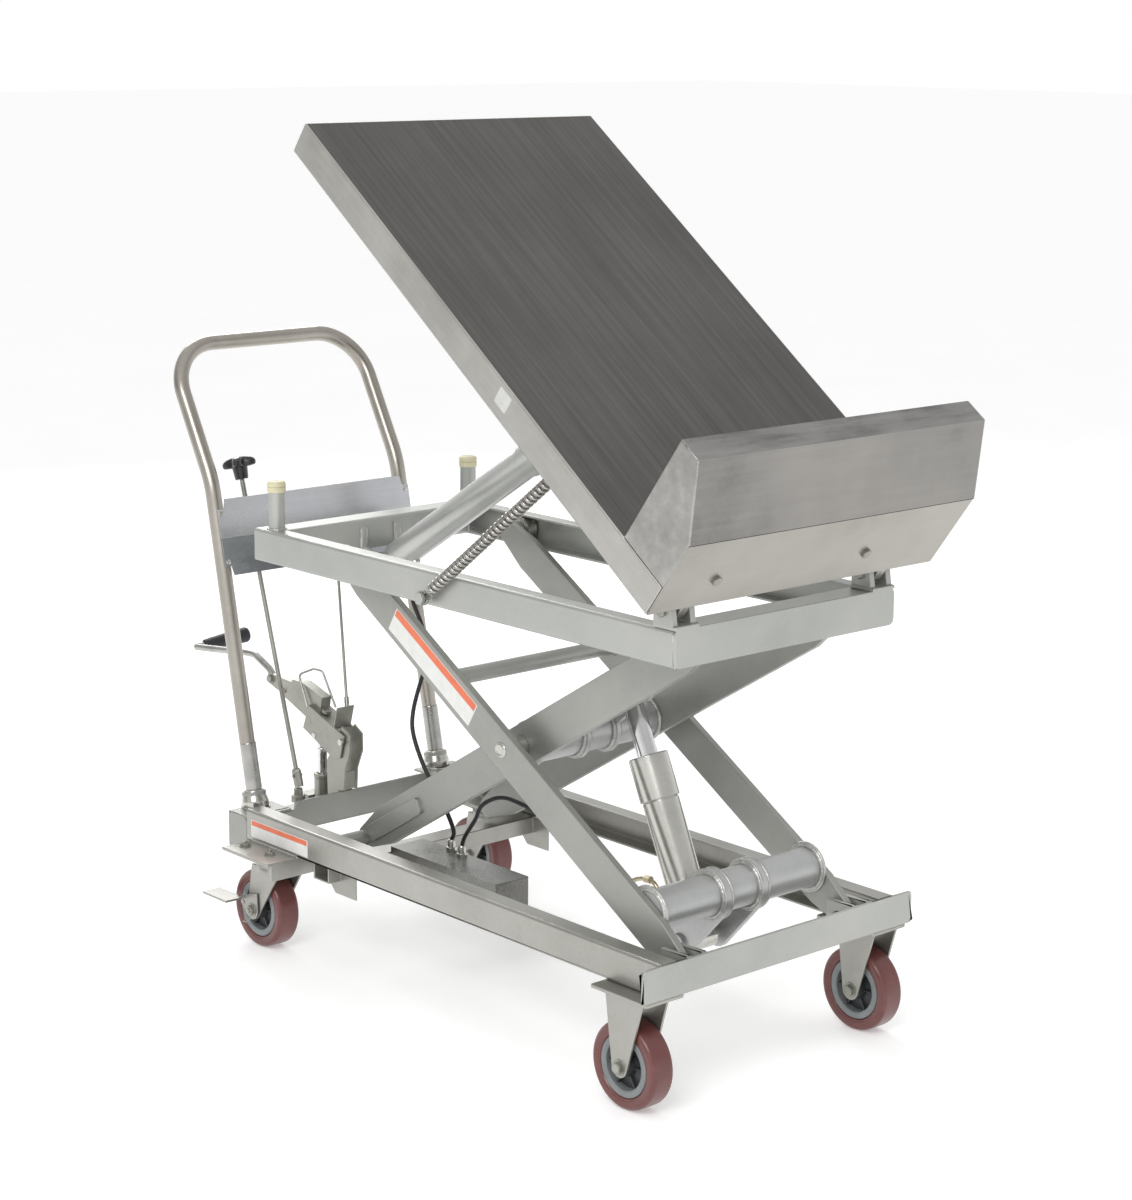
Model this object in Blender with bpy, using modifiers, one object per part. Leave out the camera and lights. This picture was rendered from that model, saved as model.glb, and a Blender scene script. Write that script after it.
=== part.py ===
"""Hand-pumped scissor lift table with a tilting top, built as separate moving bodies.

Sizes are metres.  +X points to the end the top tips towards, -X to the push handle,
+Z up; the near side is -Y.  The machine stands with its legs half raised and its top
tilted as far as it goes.
"""
from math import atan2, cos, pi, radians, sin

import bmesh
import bpy
from mathutils import Matrix, Vector

# ---------------------------------------------------------------- driving dimensions
GAP = 0.0003                      # between faces that touch
ROUND = 16                        # sides of a small round shape
WHEEL_ROUND = 24
SIDES = {"near": -1, "far": 1}

LEG_LENGTH = 0.8879               # between the pivots at a leg's two ends
LIFT_ANGLE = radians(31.13)       # legs above level
TABLE_ANGLE = radians(36.5)       # top above level

LOWER_PIVOT = Vector((0.404, 0, 0.195))
LEG_REACH = Vector((-LEG_LENGTH * cos(LIFT_ANGLE), 0, LEG_LENGTH * sin(LIFT_ANGLE)))
MIDDLE_PIVOT = LOWER_PIVOT + LEG_REACH / 2
UPPER_PIVOT = LOWER_PIVOT + Vector((0, 0, LEG_REACH.z))
UPPER_ROLLER = LOWER_PIVOT + LEG_REACH
LOWER_ROLLER = LOWER_PIVOT + Vector((LEG_REACH.x, 0, 0))
TABLE_HINGE = UPPER_PIVOT + Vector((0.003, 0, 0.050))

OUTER_LEG_Y = (0.1605, 0.1725)
INNER_LEG_Y = (0.120, 0.132)
PIN_RADIUS = 0.0095
PIN_HOLE = 0.0105
AXLE_RADIUS = 0.0075

SHEET = 0.004                     # wall of the rolled channels
LOWER_RAIL_X = (-0.537, 0.4325)
LOWER_RAIL_Y = (0.204, 0.235)
LOWER_RAIL_Z = (0.170, 0.220)
UPPER_RAIL_X = (-0.529, 0.428)
UPPER_RAIL_Y = (0.188, 0.2162)
UPPER_RAIL_Z = (0.628, 0.680)

TABLE_LENGTH = 0.954
TABLE_HALF_WIDTH = 0.2797
TABLE_TOP = 0.080                 # top face above the hinge, across the top
TABLE_END = 0.0249                # lip end of the top past the hinge, along the top
TABLE_APRON = 0.0507
TABLE_SHEET = 0.003
LIP_REBATE = 0.0006               # step in the top's face that the lip stands in

TOE_HEIGHT = 0.177
TOE_DEPTH = 0.095
TOE_CREST = 0.039                 # flat crest along the lip's top edge
TOE_FOLD = 0.078

WHEEL_RADIUS = 0.0635
WHEEL_WIDTH = 0.040
HUB_RADIUS = 0.046
FRONT_AXLE = Vector((0.379, 0.233, WHEEL_RADIUS))
SWIVEL_AXIS = Vector((-0.4665, 0.225, 0.165))
REAR_TRAIL = 0.031

LIFT_BASE = Vector((0.270, 0, 0.165))
LIFT_TIP = Vector((0.114, 0, 0.502))
TORQUE_TUBE = Vector((0.330, 0, 0.253))
TUBE_RADIUS = 0.030

TILT_BASE = Vector((-0.452, 0, 0.611))
TILT_TIP_ON_TABLE = Vector((-0.3815, 0, 0.0448))    # from the hinge, along the top
SPRING_BASE = Vector((-0.085, 0.2285, 0.642))
SPRING_TIP_ON_TABLE = Vector((-0.2470, 0.2285, 0.0362))

HANDLE_FOOT = Vector((-0.574, 0.19, 0.217))
HANDLE_BEND = Vector((-0.683, 0.19, 0.730))
HANDLE_TOP = Vector((-0.800, 0.19, 0.940))
HANDLE_RADIUS = 0.0127

PUMP_Y = -0.037
PEDAL_PIVOT = Vector((-0.520, PUMP_Y, 0.303))
PLUNGER_X = -0.598

RELEASE_FOOT = Vector((-0.553, -0.12, 0.243))
RELEASE_KNOB = Vector((-0.7065, -0.12, 0.7525))
SELECTOR_FOOT = Vector((-0.560, -0.0125, 0.345))
SELECTOR_TOP = Vector((-0.676, 0.0545, 0.600))


# ---------------------------------------------------------------- scene and collections
def empty_scene():
    for old in list(bpy.data.objects):
        bpy.data.objects.remove(old, do_unlink=True)


def new_collection(name):
    collection = bpy.data.collections.new(name)
    bpy.context.scene.collection.children.link(collection)
    return collection


empty_scene()
PARTS = new_collection("scissor_lift_table")


def add_object(name, data):
    made = bpy.data.objects.new(name, data)
    PARTS.objects.link(made)
    return made


def add_empty(name, location, turn=0.0, parent=None):
    """An empty on a joint's axis, turned about Y."""
    made = add_object(name, None)
    made.empty_display_size = 0.05
    made.location = location
    made.rotation_euler = (0, turn, 0)
    made.parent = parent
    bpy.context.view_layer.update()
    return made


def material(name, colour, metallic, roughness):
    made = bpy.data.materials.new(name)
    made.use_nodes = True
    shader = made.node_tree.nodes["Principled BSDF"]
    shader.inputs["Base Color"].default_value = (*colour, 1)
    shader.inputs["Metallic"].default_value = metallic
    shader.inputs["Roughness"].default_value = roughness
    return made


GALVANISED = material("galvanised_steel", (0.43, 0.44, 0.43), 0.7, 0.45)
STAINLESS = material("brushed_stainless", (0.30, 0.29, 0.27), 0.9, 0.35)
BRIGHT = material("polished_stainless", (0.42, 0.40, 0.36), 0.95, 0.25)
CHROME = material("chromed_rod", (0.70, 0.70, 0.70), 1.0, 0.08)
SPRING_STEEL = material("spring_steel", (0.45, 0.44, 0.42), 0.9, 0.35)
TYRE_RUBBER = material("maroon_polyurethane", (0.16, 0.045, 0.04), 0.0, 0.4)
HUB_PLASTIC = material("grey_hub", (0.28, 0.30, 0.30), 0.0, 0.5)
BLACK = material("black_plastic", (0.01, 0.01, 0.011), 0.0, 0.4)
HOSE_RUBBER = material("black_hose", (0.012, 0.012, 0.012), 0.0, 0.5)
CREAM = material("cream_nylon", (0.60, 0.57, 0.36), 0.0, 0.5)


# ---------------------------------------------------------------- modelling helpers
def weld(mesh):
    cage = bmesh.new()
    cage.from_mesh(mesh)
    bmesh.ops.remove_doubles(cage, verts=cage.verts, dist=1e-6)
    bmesh.ops.dissolve_limit(cage, angle_limit=radians(0.5), verts=cage.verts, edges=cage.edges)
    bmesh.ops.recalc_face_normals(cage, faces=cage.faces)
    cage.to_mesh(mesh)
    cage.free()


def evaluated_mesh(source):
    graph = bpy.context.evaluated_depsgraph_get()
    return bpy.data.meshes.new_from_object(source.evaluated_get(graph), depsgraph=graph)


def to_mesh(source, placement=Matrix.Identity(4)):
    """Turn a curve or a modified object into a plain welded mesh object."""
    name = source.name
    mesh = evaluated_mesh(source)
    mesh.transform(placement)
    weld(mesh)
    bpy.data.objects.remove(source, do_unlink=True)
    return add_object(name, mesh)


def box(name, x, y, z):
    low = Vector((min(x), min(y), min(z)))
    high = Vector((max(x), max(y), max(z)))
    cage = bmesh.new()
    bmesh.ops.create_cube(cage, size=1)
    size = high - low
    bmesh.ops.scale(cage, vec=size, verts=cage.verts)
    bmesh.ops.translate(cage, vec=(low + high) / 2, verts=cage.verts)
    mesh = bpy.data.meshes.new(name)
    cage.to_mesh(mesh)
    cage.free()
    return add_object(name, mesh)


def frame_along(start, end):
    """The placement whose local Z runs from start to end, keeping local X near the X-Z plane."""
    axis = (Vector(end) - Vector(start)).normalized()
    across = Vector((0, 1, 0)) if abs(axis.y) < 0.9 else Vector((1, 0, 0))
    side = across.cross(axis).normalized()
    turn = Matrix((side, axis.cross(side), axis)).transposed().to_4x4()
    return Matrix.Translation(start) @ turn


def cylinder(name, start, end, radius, sides=ROUND):
    length = (Vector(end) - Vector(start)).length
    cage = bmesh.new()
    bmesh.ops.create_cone(cage, cap_ends=True, segments=sides, radius1=radius, radius2=radius, depth=length)
    bmesh.ops.translate(cage, vec=(0, 0, length / 2), verts=cage.verts)
    bmesh.ops.transform(cage, matrix=frame_along(start, end), verts=cage.verts)
    mesh = bpy.data.meshes.new(name)
    cage.to_mesh(mesh)
    cage.free()
    return add_object(name, mesh)


def cross_pin(name, centre, y, radius, sides=ROUND):
    """A round bar along Y through centre, from y[0] to y[1]."""
    start = Vector((centre.x, min(y), centre.z))
    end = Vector((centre.x, max(y), centre.z))
    return cylinder(name, start, end, radius, sides)


PLANE_TURN = {
    "XZ": Matrix(((1, 0, 0, 0), (0, 0, -1, 0), (0, 1, 0, 0), (0, 0, 0, 1))),
    "YZ": Matrix(((0, 0, 1, 0), (1, 0, 0, 0), (0, 1, 0, 0), (0, 0, 0, 1))),
    "XY": Matrix.Identity(4),
}
PLANE_NORMAL = {"XZ": Vector((0, 1, 0)), "YZ": Vector((1, 0, 0)), "XY": Vector((0, 0, 1))}


def plate(name, outline, plane, faces, holes=()):
    """A flat outline drawn in a plane and thickened between its two face positions."""
    curve = bpy.data.curves.new(name, "CURVE")
    curve.dimensions = "2D"
    curve.fill_mode = "BOTH"
    curve.extrude = abs(faces[1] - faces[0]) / 2
    for loop in (outline, *holes):
        spline = curve.splines.new("POLY")
        spline.points.add(len(loop) - 1)
        spline.use_cyclic_u = True
        for point, (across, up) in zip(spline.points, loop):
            point.co = (across, up, 0, 1)
    middle = PLANE_NORMAL[plane] * (faces[0] + faces[1]) / 2
    return to_mesh(add_object(name, curve), Matrix.Translation(middle) @ PLANE_TURN[plane])


def circle(centre, radius, sides=ROUND):
    return [
        (centre[0] + radius * cos(2 * pi * step / sides), centre[1] + radius * sin(2 * pi * step / sides))
        for step in range(sides)
    ]


def flat(point):
    """A 3-D point as its place in the X-Z plane."""
    return (point.x, point.z)


def hull(points):
    """The convex outline round a set of 2-D points, anticlockwise."""
    ordered = sorted(set((round(a, 7), round(b, 7)) for a, b in points))

    def chain(run):
        kept = []
        for point in run:
            while len(kept) > 1 and turns_right(kept[-2], kept[-1], point):
                kept.pop()
            kept.append(point)
        return kept[:-1]

    return chain(ordered) + chain(ordered[::-1])


def turns_right(a, b, c):
    return (b[0] - a[0]) * (c[1] - a[1]) - (b[1] - a[1]) * (c[0] - a[0]) <= 0


def link_outline(first, first_radius, second, second_radius, sides=ROUND):
    """The outline of a strap wrapped round two circles."""
    return hull(circle(first, first_radius, sides) + circle(second, second_radius, sides))


def rectangle(across, up, radius=0.0, steps=3):
    """A rectangle, with round corners where a radius is given."""
    corners = [(max(across), max(up), 0), (min(across), max(up), 1),
               (min(across), min(up), 2), (max(across), min(up), 3)]
    if not radius:
        return [(a, b) for a, b, _ in corners]
    loop = []
    for a, b, quarter in corners:
        centre_a = a - radius * (1 if quarter in (0, 3) else -1)
        centre_b = b - radius * (1 if quarter in (0, 1) else -1)
        for step in range(steps + 1):
            angle = (quarter + step / steps) * pi / 2
            loop.append((centre_a + radius * cos(angle), centre_b + radius * sin(angle)))
    return loop


def rounded_path(points, radii, steps=6):
    """A polyline whose inner corners are arcs of the given radii."""
    path = [Vector(points[0])]
    for before, corner, after, radius in zip(points, points[1:], points[2:], radii):
        corner = Vector(corner)
        into = (Vector(before) - corner).normalized()
        out = (Vector(after) - corner).normalized()
        half = into.angle(out) / 2
        setback = radius / (sin(half) / cos(half))
        bisector = (into + out).normalized()
        centre = corner + bisector * radius / sin(half)
        start = corner + into * setback - centre
        end = corner + out * setback - centre
        sweep = start.angle(end)
        for step in range(steps + 1):
            part = step / steps
            spoke = start * sin((1 - part) * sweep) / sin(sweep) + end * sin(part * sweep) / sin(sweep)
            path.append(centre + spoke)
    path.append(Vector(points[-1]))
    return path


def smooth_path(points, count):
    """Points spread evenly along a smooth curve through the given points."""
    points = [Vector(point) for point in points]
    ends = [2 * points[0] - points[1], *points, 2 * points[-1] - points[-2]]
    fine = []
    for a, b, c, d in zip(ends, ends[1:], ends[2:], ends[3:]):
        for step in range(12):
            t = step / 12
            fine.append(0.5 * (2 * b + (c - a) * t + (2 * a - 5 * b + 4 * c - d) * t * t
                               + (3 * b - a - 3 * c + d) * t ** 3))
    fine.append(points[-1])
    lengths = [0.0]
    for a, b in zip(fine, fine[1:]):
        lengths.append(lengths[-1] + (b - a).length)
    path = []
    index = 0
    for step in range(count):
        wanted = lengths[-1] * step / (count - 1)
        while index < len(fine) - 2 and lengths[index + 1] < wanted:
            index += 1
        part = (wanted - lengths[index]) / (lengths[index + 1] - lengths[index])
        path.append(fine[index].lerp(fine[index + 1], min(part, 1.0)))
    return path


def wire(name, path, radius, roundness=2):
    """A round bar, tube or wire that follows a path."""
    curve = bpy.data.curves.new(name, "CURVE")
    curve.dimensions = "3D"
    curve.bevel_depth = radius
    curve.bevel_resolution = roundness
    curve.use_fill_caps = True
    spline = curve.splines.new("POLY")
    spline.points.add(len(path) - 1)
    for point, place in zip(spline.points, path):
        point.co = (*place, 1)
    return to_mesh(add_object(name, curve))


def turned(name, profile, start, end, steps=ROUND, closed=False):
    """A profile of (radius, distance) points spun round the line from start to end.

    A closed profile makes a ring; an open one begins and ends on the axis.
    """
    mesh = bpy.data.meshes.new(name)
    edges = [(index, index + 1) for index in range(len(profile) - 1)]
    if closed:
        edges.append((len(profile) - 1, 0))
    mesh.from_pydata([(radius, 0, distance) for radius, distance in profile], edges, [])
    lathe = add_object(name, mesh)
    spin = lathe.modifiers.new("spin", "SCREW")
    spin.steps = steps
    spin.render_steps = steps
    spin.use_merge_vertices = True
    spin.merge_threshold = 0.00001
    return to_mesh(lathe, frame_along(start, end))


def boolean(target, tools, operation):
    for tool in tools:
        step = target.modifiers.new(operation.lower(), "BOOLEAN")
        step.operation = operation
        step.solver = "EXACT"
        step.object = tool
    mesh = evaluated_mesh(target)
    target.modifiers.clear()
    target.data = mesh
    for tool in tools:
        bpy.data.objects.remove(tool, do_unlink=True)
    return target


def join(target, *tools):
    return boolean(target, tools, "UNION")


def cut(target, *tools):
    return boolean(target, tools, "DIFFERENCE")


def both(side, y):
    """A pair of distances from the middle as Y on one side."""
    return (side * y[0], side * y[1])


def finish(part, look, parent, local=False):
    """Give a part its material and hang it on a joint's empty.

    A part drawn where it stands is moved into the empty's frame, so that its origin is on
    the joint's axis.  A local part was drawn in that frame already.
    """
    if not local:
        part.data.transform(parent.matrix_world.inverted())
    part.parent = parent
    part.data.materials.clear()
    part.data.materials.append(look)
    part.data.shade_smooth()
    part.data.set_sharp_from_angle(angle=radians(35))
    return part


# ---------------------------------------------------------------- joints
ROOT = add_empty("root", (0, 0, 0))
BASE = add_empty("base_frame", (0, 0, 0), parent=ROOT)
OUTER = add_empty("outer_leg_hinge", LOWER_PIVOT, LIFT_ANGLE, ROOT)
INNER = add_empty("inner_leg_hinge", MIDDLE_PIVOT, -LIFT_ANGLE, ROOT)
UPPER = add_empty("upper_frame_hinge", UPPER_PIVOT, 0, ROOT)
TABLE = add_empty("table_hinge", TABLE_HINGE, TABLE_ANGLE, ROOT)

TILT_TIP = TABLE.matrix_world @ TILT_TIP_ON_TABLE
SPRING_TIP = TABLE.matrix_world @ SPRING_TIP_ON_TABLE


def joint_along(name, start, end):
    """An empty at start whose -X axis points at end."""
    reach = end - start
    return add_empty(name, start, atan2(reach.z, -reach.x), ROOT)


# ---------------------------------------------------------------- base frame
def channel_outline(side, y, z):
    """A C-section open towards the middle."""
    inner, outer = both(side, y)
    web = outer - side * SHEET
    return [(inner, z[0]), (outer, z[0]), (outer, z[1]), (inner, z[1]),
            (inner, z[1] - SHEET), (web, z[1] - SHEET), (web, z[0] + SHEET), (inner, z[0] + SHEET)]


def lower_rail(label, side):
    rail = plate(f"lower_rail_{label}", channel_outline(side, LOWER_RAIL_Y, LOWER_RAIL_Z), "YZ", LOWER_RAIL_X)
    caster_plate = box("caster_plate", (-0.525, -0.400), both(side, (0.163, 0.292)), (0.165, 0.1705))
    flange_outline = [(side * 0.163, 0.1655), (side * 0.285, 0.1655),
                      (side * 0.285, 0.140), (side * 0.190, 0.140)]
    down_flange = plate("down_flange", flange_outline, "YZ", (-0.405, -0.400))
    join(rail, caster_plate, down_flange)
    finish(rail, GALVANISED, BASE)


def pivot_lug(y, x, z, hole):
    """A flat lug with a pin hole, across Y."""
    return plate("lug", rectangle(x, z), "XZ", (min(y), max(y)), [circle(flat(hole), PIN_HOLE)])


def front_cross_angle():
    face = rectangle((-0.2707, 0.2707), LOWER_RAIL_Z, 0.008)
    angle = plate("front_cross_angle", face, "YZ", (0.433, 0.438))
    flange = box("flange", (0.388, 0.4335), (-0.2035, 0.2035), (0.170, 0.175))
    lugs = [pivot_lug(both(side, y), (0.381, 0.4335), (0.1745, 0.2205), LOWER_PIVOT)
            for side in SIDES.values() for y in ((0.148, 0.156), (0.177, 0.185))]
    join(angle, flange, *lugs)
    finish(angle, GALVANISED, BASE)


def rear_crossmember():
    member = box("rear_crossmember", (-0.582, -0.530), (-0.235, 0.235), (0.165, 0.169))
    web = plate("web", [(-0.2035, 0.1655), (0.2035, 0.1655), (0.2035, 0.202), (0.145, 0.202), (0.138, 0.215),
                        (-0.138, 0.215), (-0.145, 0.202), (-0.2035, 0.202)], "YZ", (-0.534, -0.530))
    pump_shelf = plate("pump_shelf", [(-0.5815, 0.060), (-0.645, 0.045), (-0.652, 0.035), (-0.652, -0.100),
                                      (-0.645, -0.110), (-0.5815, -0.150)], "XY", (0.165, 0.169))
    extras = [web, pump_shelf]
    for side in SIDES.values():
        cheek = plate("cheek", rectangle((-0.588, -0.5375), (0.141, 0.206), 0.010), "XZ",
                      sorted(both(side, (0.231, 0.235))))
        extras.append(cheek)
        extras.append(box("foot_plate", (-0.588, -0.5375), both(side, (0.150, 0.2345)), (0.202, 0.206)))
        extras.append(box("foot_link", (-0.545, -0.5305), both(side, (0.150, 0.2035)), (0.2012, 0.2055)))
        foot = Vector((HANDLE_FOOT.x, side * HANDLE_FOOT.y, 0.2050))
        rake = (HANDLE_BEND.x - HANDLE_FOOT.x) / (HANDLE_BEND.z - HANDLE_FOOT.z)
        extras.append(cylinder("collar", foot, foot + Vector((0.027 * rake, 0, 0.027)), 0.020))
    stub = Vector((RELEASE_FOOT.x, RELEASE_FOOT.y, 0.168))
    extras.append(cylinder("release_stub", stub, stub + Vector((0, 0, 0.062)), 0.007, 12))
    join(member, *extras)
    sockets = []
    for side in SIDES.values():
        foot = Vector((HANDLE_FOOT.x, side * HANDLE_FOOT.y, HANDLE_FOOT.z - 0.010))
        top = Vector((HANDLE_BEND.x, side * HANDLE_BEND.y, HANDLE_BEND.z))
        sockets.append(cylinder("socket", foot, top, HANDLE_RADIUS + 0.0012))
    cut(member, *sockets)
    finish(member, GALVANISED, BASE)


def mid_cross_tube():
    section_x = (-0.370, -0.330)
    section_z = (0.142, LOWER_RAIL_Z[0] - GAP)
    wall = 0.003
    bore = rectangle((section_x[0] + wall, section_x[1] - wall), (section_z[0] + wall, section_z[1] - wall))
    tube = plate("mid_cross_tube", rectangle(section_x, section_z), "XZ", (-0.225, 0.225), [bore])
    cheeks = [plate("cheek", [(-0.366, section_z[1] - 0.001), (-0.292, section_z[1] - 0.001), (-0.292, 0.119),
                              (-0.345, 0.119), (-0.366, 0.140)], "XZ", sorted(both(side, (0.198, 0.201))))
              for side in SIDES.values()]
    join(tube, *cheeks)
    finish(tube, GALVANISED, BASE)


def handle_tube():
    start = HANDLE_FOOT + Vector((0, 0, -0.0095))
    loop = []
    for side in (-1, 1):
        run = [Vector((point.x, side * point.y, point.z)) for point in (start, HANDLE_BEND, HANDLE_TOP)]
        loop.extend(run if side < 0 else run[::-1])
    tube = wire("handle_tube", rounded_path(loop, (0.16, 0.085, 0.085, 0.16), 5), HANDLE_RADIUS, 2)
    finish(tube, STAINLESS, BASE)


def handle_lean(z):
    """X of the handle's legs at a height below their bend."""
    rake = (HANDLE_BEND.x - HANDLE_FOOT.x) / (HANDLE_BEND.z - HANDLE_FOOT.z)
    return HANDLE_FOOT.x + rake * (z - HANDLE_FOOT.z)


def handle_panel():
    low, high = 0.580, 0.705
    ear = 0.016
    outline = []
    for side, top in ((1, high), (-1, high), (-1, low), (1, low)):
        inward = -ear if top == high else ear
        edge = [(side * 0.180, top), (side * 0.184, top + inward), (side * 0.196, top + inward)]
        outline.extend(edge[::-1] if (side > 0) == (top == high) else edge)
    sheet = plate("handle_panel", outline, "YZ", (-0.001, 0.001))
    middle = (low + high) / 2
    rake = atan2(handle_lean(high) - handle_lean(low), high - low)
    clear = HANDLE_RADIUS / cos(rake) + 0.0016
    lean = (Matrix.Translation((handle_lean(middle) + clear, 0, middle)) @ Matrix.Rotation(rake, 4, "Y")
            @ Matrix.Translation((0, 0, -middle)))
    sheet.data.transform(lean)
    finish(sheet, GALVANISED, BASE)


def valve_box():
    x = (-0.3295, -0.068)
    y = (-0.103, -0.037)
    cover = box("valve_box", x, y, (0.132, 0.180))
    hollow = box("hollow", (x[0] + 0.002, x[1] + 0.01), (y[0] + 0.002, y[1] - 0.002), (0.120, 0.178))
    cut(cover, hollow)
    finish(cover, GALVANISED, BASE)


def pump_body():
    foot = Vector((PLUNGER_X, PUMP_Y, 0.169 + GAP))
    profile = [(0, 0), (0.014, 0), (0.014, 0.060), (0.0125, 0.0618),
               (0.0095, 0.0618), (0.0095, 0.012), (0, 0.012)]
    body = turned("pump_body", profile, foot, foot + Vector((0, 0, 1)))
    block = box("block", (-0.640, -0.6095), (PUMP_Y - 0.020, PUMP_Y + 0.020), (0.169 + GAP, 0.192))
    join(body, block)
    finish(body, GALVANISED, BASE)


def pump_bracket():
    outline = [(-0.564, 0.169 + GAP), (-0.535, 0.169 + GAP), (-0.535, 0.2165),
               (-0.5195, 0.219), (-0.517, 0.255), (-0.503, 0.287),
               (-0.503, 0.316), (-0.524, 0.328), (-0.567, 0.2615)]
    near = plate("pump_bracket", outline, "XZ", (PUMP_Y - 0.0140, PUMP_Y - 0.0110))
    far = plate("far_cheek", outline, "XZ", (PUMP_Y + 0.0110, PUMP_Y + 0.0140))
    back = box("back", (-0.5235, -0.5205), (PUMP_Y - 0.0125, PUMP_Y + 0.0125), (0.220, 0.250))
    join(near, far, back)
    finish(near, GALVANISED, BASE)


def front_fork(label, side):
    axle = Vector((FRONT_AXLE.x, side * FRONT_AXLE.y, FRONT_AXLE.z))
    top = LOWER_RAIL_Z[0] - GAP
    fork = box(f"front_fork_{label}", (0.322, 0.4355), both(side, (0.190, 0.2625)), (top - 0.005, top))
    leg = hull([(0.350, top - 0.004), (0.424, top - 0.004), *circle(flat(axle), 0.015)])
    extras = [plate("leg", leg, "XZ", sorted(both(side, y))) for y in ((0.2068, 0.2108), (0.2552, 0.2592))]
    extras.append(cross_pin("axle", axle, both(side, (0.200, 0.266)), 0.006, 8))
    extras.append(cross_pin("nut", axle, both(side, (0.259, 0.265)), 0.0095, 6))
    join(fork, *extras)
    finish(fork, GALVANISED, BASE)


def release_rod(joint):
    direction = (RELEASE_KNOB - RELEASE_FOOT).normalized()
    top = RELEASE_KNOB - direction * 0.0293
    rod = cylinder("release_rod", RELEASE_FOOT, top, 0.004, 12)
    below, above = RELEASE_FOOT - direction * 0.011, RELEASE_FOOT + direction * 0.022
    clevis = cylinder("clevis", below, above, 0.0075, 12)
    join(rod, clevis)
    finish(rod, GALVANISED, joint)

    stem = [(0, -0.029), (0.0095, -0.029), (0.012, 0.0), (0.010, 0.010), (0, 0.010)]
    knob = turned("release_knob", stem, RELEASE_KNOB, RELEASE_KNOB + direction, 12)
    frame = frame_along(RELEASE_KNOB, RELEASE_KNOB + direction)
    lobes = 4
    sides = 32
    outline = []
    for step in range(sides):
        angle = 2 * pi * step / sides
        radius = 0.021 - 0.007 * cos(lobes * angle)
        outline.append((radius * cos(angle), radius * sin(angle)))
    crown = plate("crown", outline, "XY", (-0.006, 0.009))
    crown.data.transform(frame)
    join(knob, crown)
    finish(knob, BLACK, joint)


def selector_rod(joint, foot, top):
    finish(cylinder("selector_rod", foot, top, 0.0025, 10), GALVANISED, joint)


# ---------------------------------------------------------------- wheels
def wheel(label, axle, joint):
    half = WHEEL_WIDTH / 2
    start = axle - Vector((0, 1, 0))
    rim = HUB_RADIUS
    crown = [(rim, -half + 0.002), (WHEEL_RADIUS - 0.006, -half), (WHEEL_RADIUS, -half + 0.006),
             (WHEEL_RADIUS, half - 0.006), (WHEEL_RADIUS - 0.006, half), (rim, half - 0.002)]
    tyre = turned(f"{label}_tyre", [(radius, distance + 1) for radius, distance in crown], start, axle,
                  WHEEL_ROUND, closed=True)
    finish(tyre, TYRE_RUBBER, joint)
    rim -= GAP
    dish = [(0.007, -half - 0.0015), (0.015, -half - 0.0015),
            (rim - 0.006, -half + 0.006), (rim, -half + 0.0025)]
    dish += [(radius, -distance) for radius, distance in dish[::-1]]
    hub = turned(f"{label}_hub", [(radius, distance + 1) for radius, distance in dish], start, axle,
                 WHEEL_ROUND, closed=True)
    finish(hub, HUB_PLASTIC, joint)


def swivel_fork(label, side, joint):
    swivel = Vector((SWIVEL_AXIS.x, side * SWIVEL_AXIS.y, 0))
    axle = Vector((swivel.x - REAR_TRAIL, swivel.y, WHEEL_RADIUS))
    race = [(0, 0.130), (0.033, 0.130), (0.033, 0.142), (0.024, 0.157), (0.024, 0.1645), (0, 0.1645)]
    fork = turned(f"swivel_fork_{label}", race, swivel, swivel + Vector((0, 0, 1)))
    leg = hull([(swivel.x - 0.034, 0.140), (swivel.x + 0.028, 0.140), (swivel.x + 0.031, 0.128),
                (swivel.x - 0.037, 0.128), *circle(flat(axle), 0.016)])
    extras = [plate("leg", leg, "XZ", sorted((swivel.y + edge * 0.0225, swivel.y + edge * 0.0265)))
              for edge in (-1, 1)]
    extras.append(box("crown", (swivel.x - 0.033, swivel.x + 0.027), (swivel.y - 0.0245, swivel.y + 0.0245),
                      (0.131, 0.139)))
    extras.append(cross_pin("axle", axle, (swivel.y - 0.0275, swivel.y + 0.0275), 0.006, 8))
    join(fork, *extras)
    finish(fork, GALVANISED, joint)
    return axle


def brake_pedal(label, side, axle, joint):
    faces = sorted((axle.y + side * 0.0280, axle.y + side * 0.0305))
    outline = hull([(axle.x - 0.030, 0.0690), (axle.x - 0.030, 0.0815), (axle.x + 0.014, 0.094),
                    *circle(flat(axle), 0.016)])
    lever = plate(f"brake_pedal_{label}", outline, "XZ", faces)
    tab = box("tab", (axle.x - 0.092, axle.x - 0.026), (axle.y + side * 0.0285, axle.y + side * 0.062),
              (0.0750, 0.0785))
    join(lever, tab)
    finish(lever, GALVANISED, joint)


# ---------------------------------------------------------------- scissor legs
def leg_outline(centre, half_width, end_radius=0.018, taper=0.0575):
    """A bar with tapered round ends, from centre + half a leg to centre - half a leg along X."""
    half = LEG_LENGTH / 2
    loop = []
    for end, turn in ((1, 0), (-1, 180)):
        for degrees_round in range(-75, 76, 25):
            angle = radians(turn + degrees_round)
            loop.append((centre + end * half + end_radius * cos(angle), end_radius * sin(angle)))
        loop.append((centre + end * (half - taper), end * half_width))
        loop.append((centre - end * (half - taper), end * half_width))
    return loop


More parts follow.
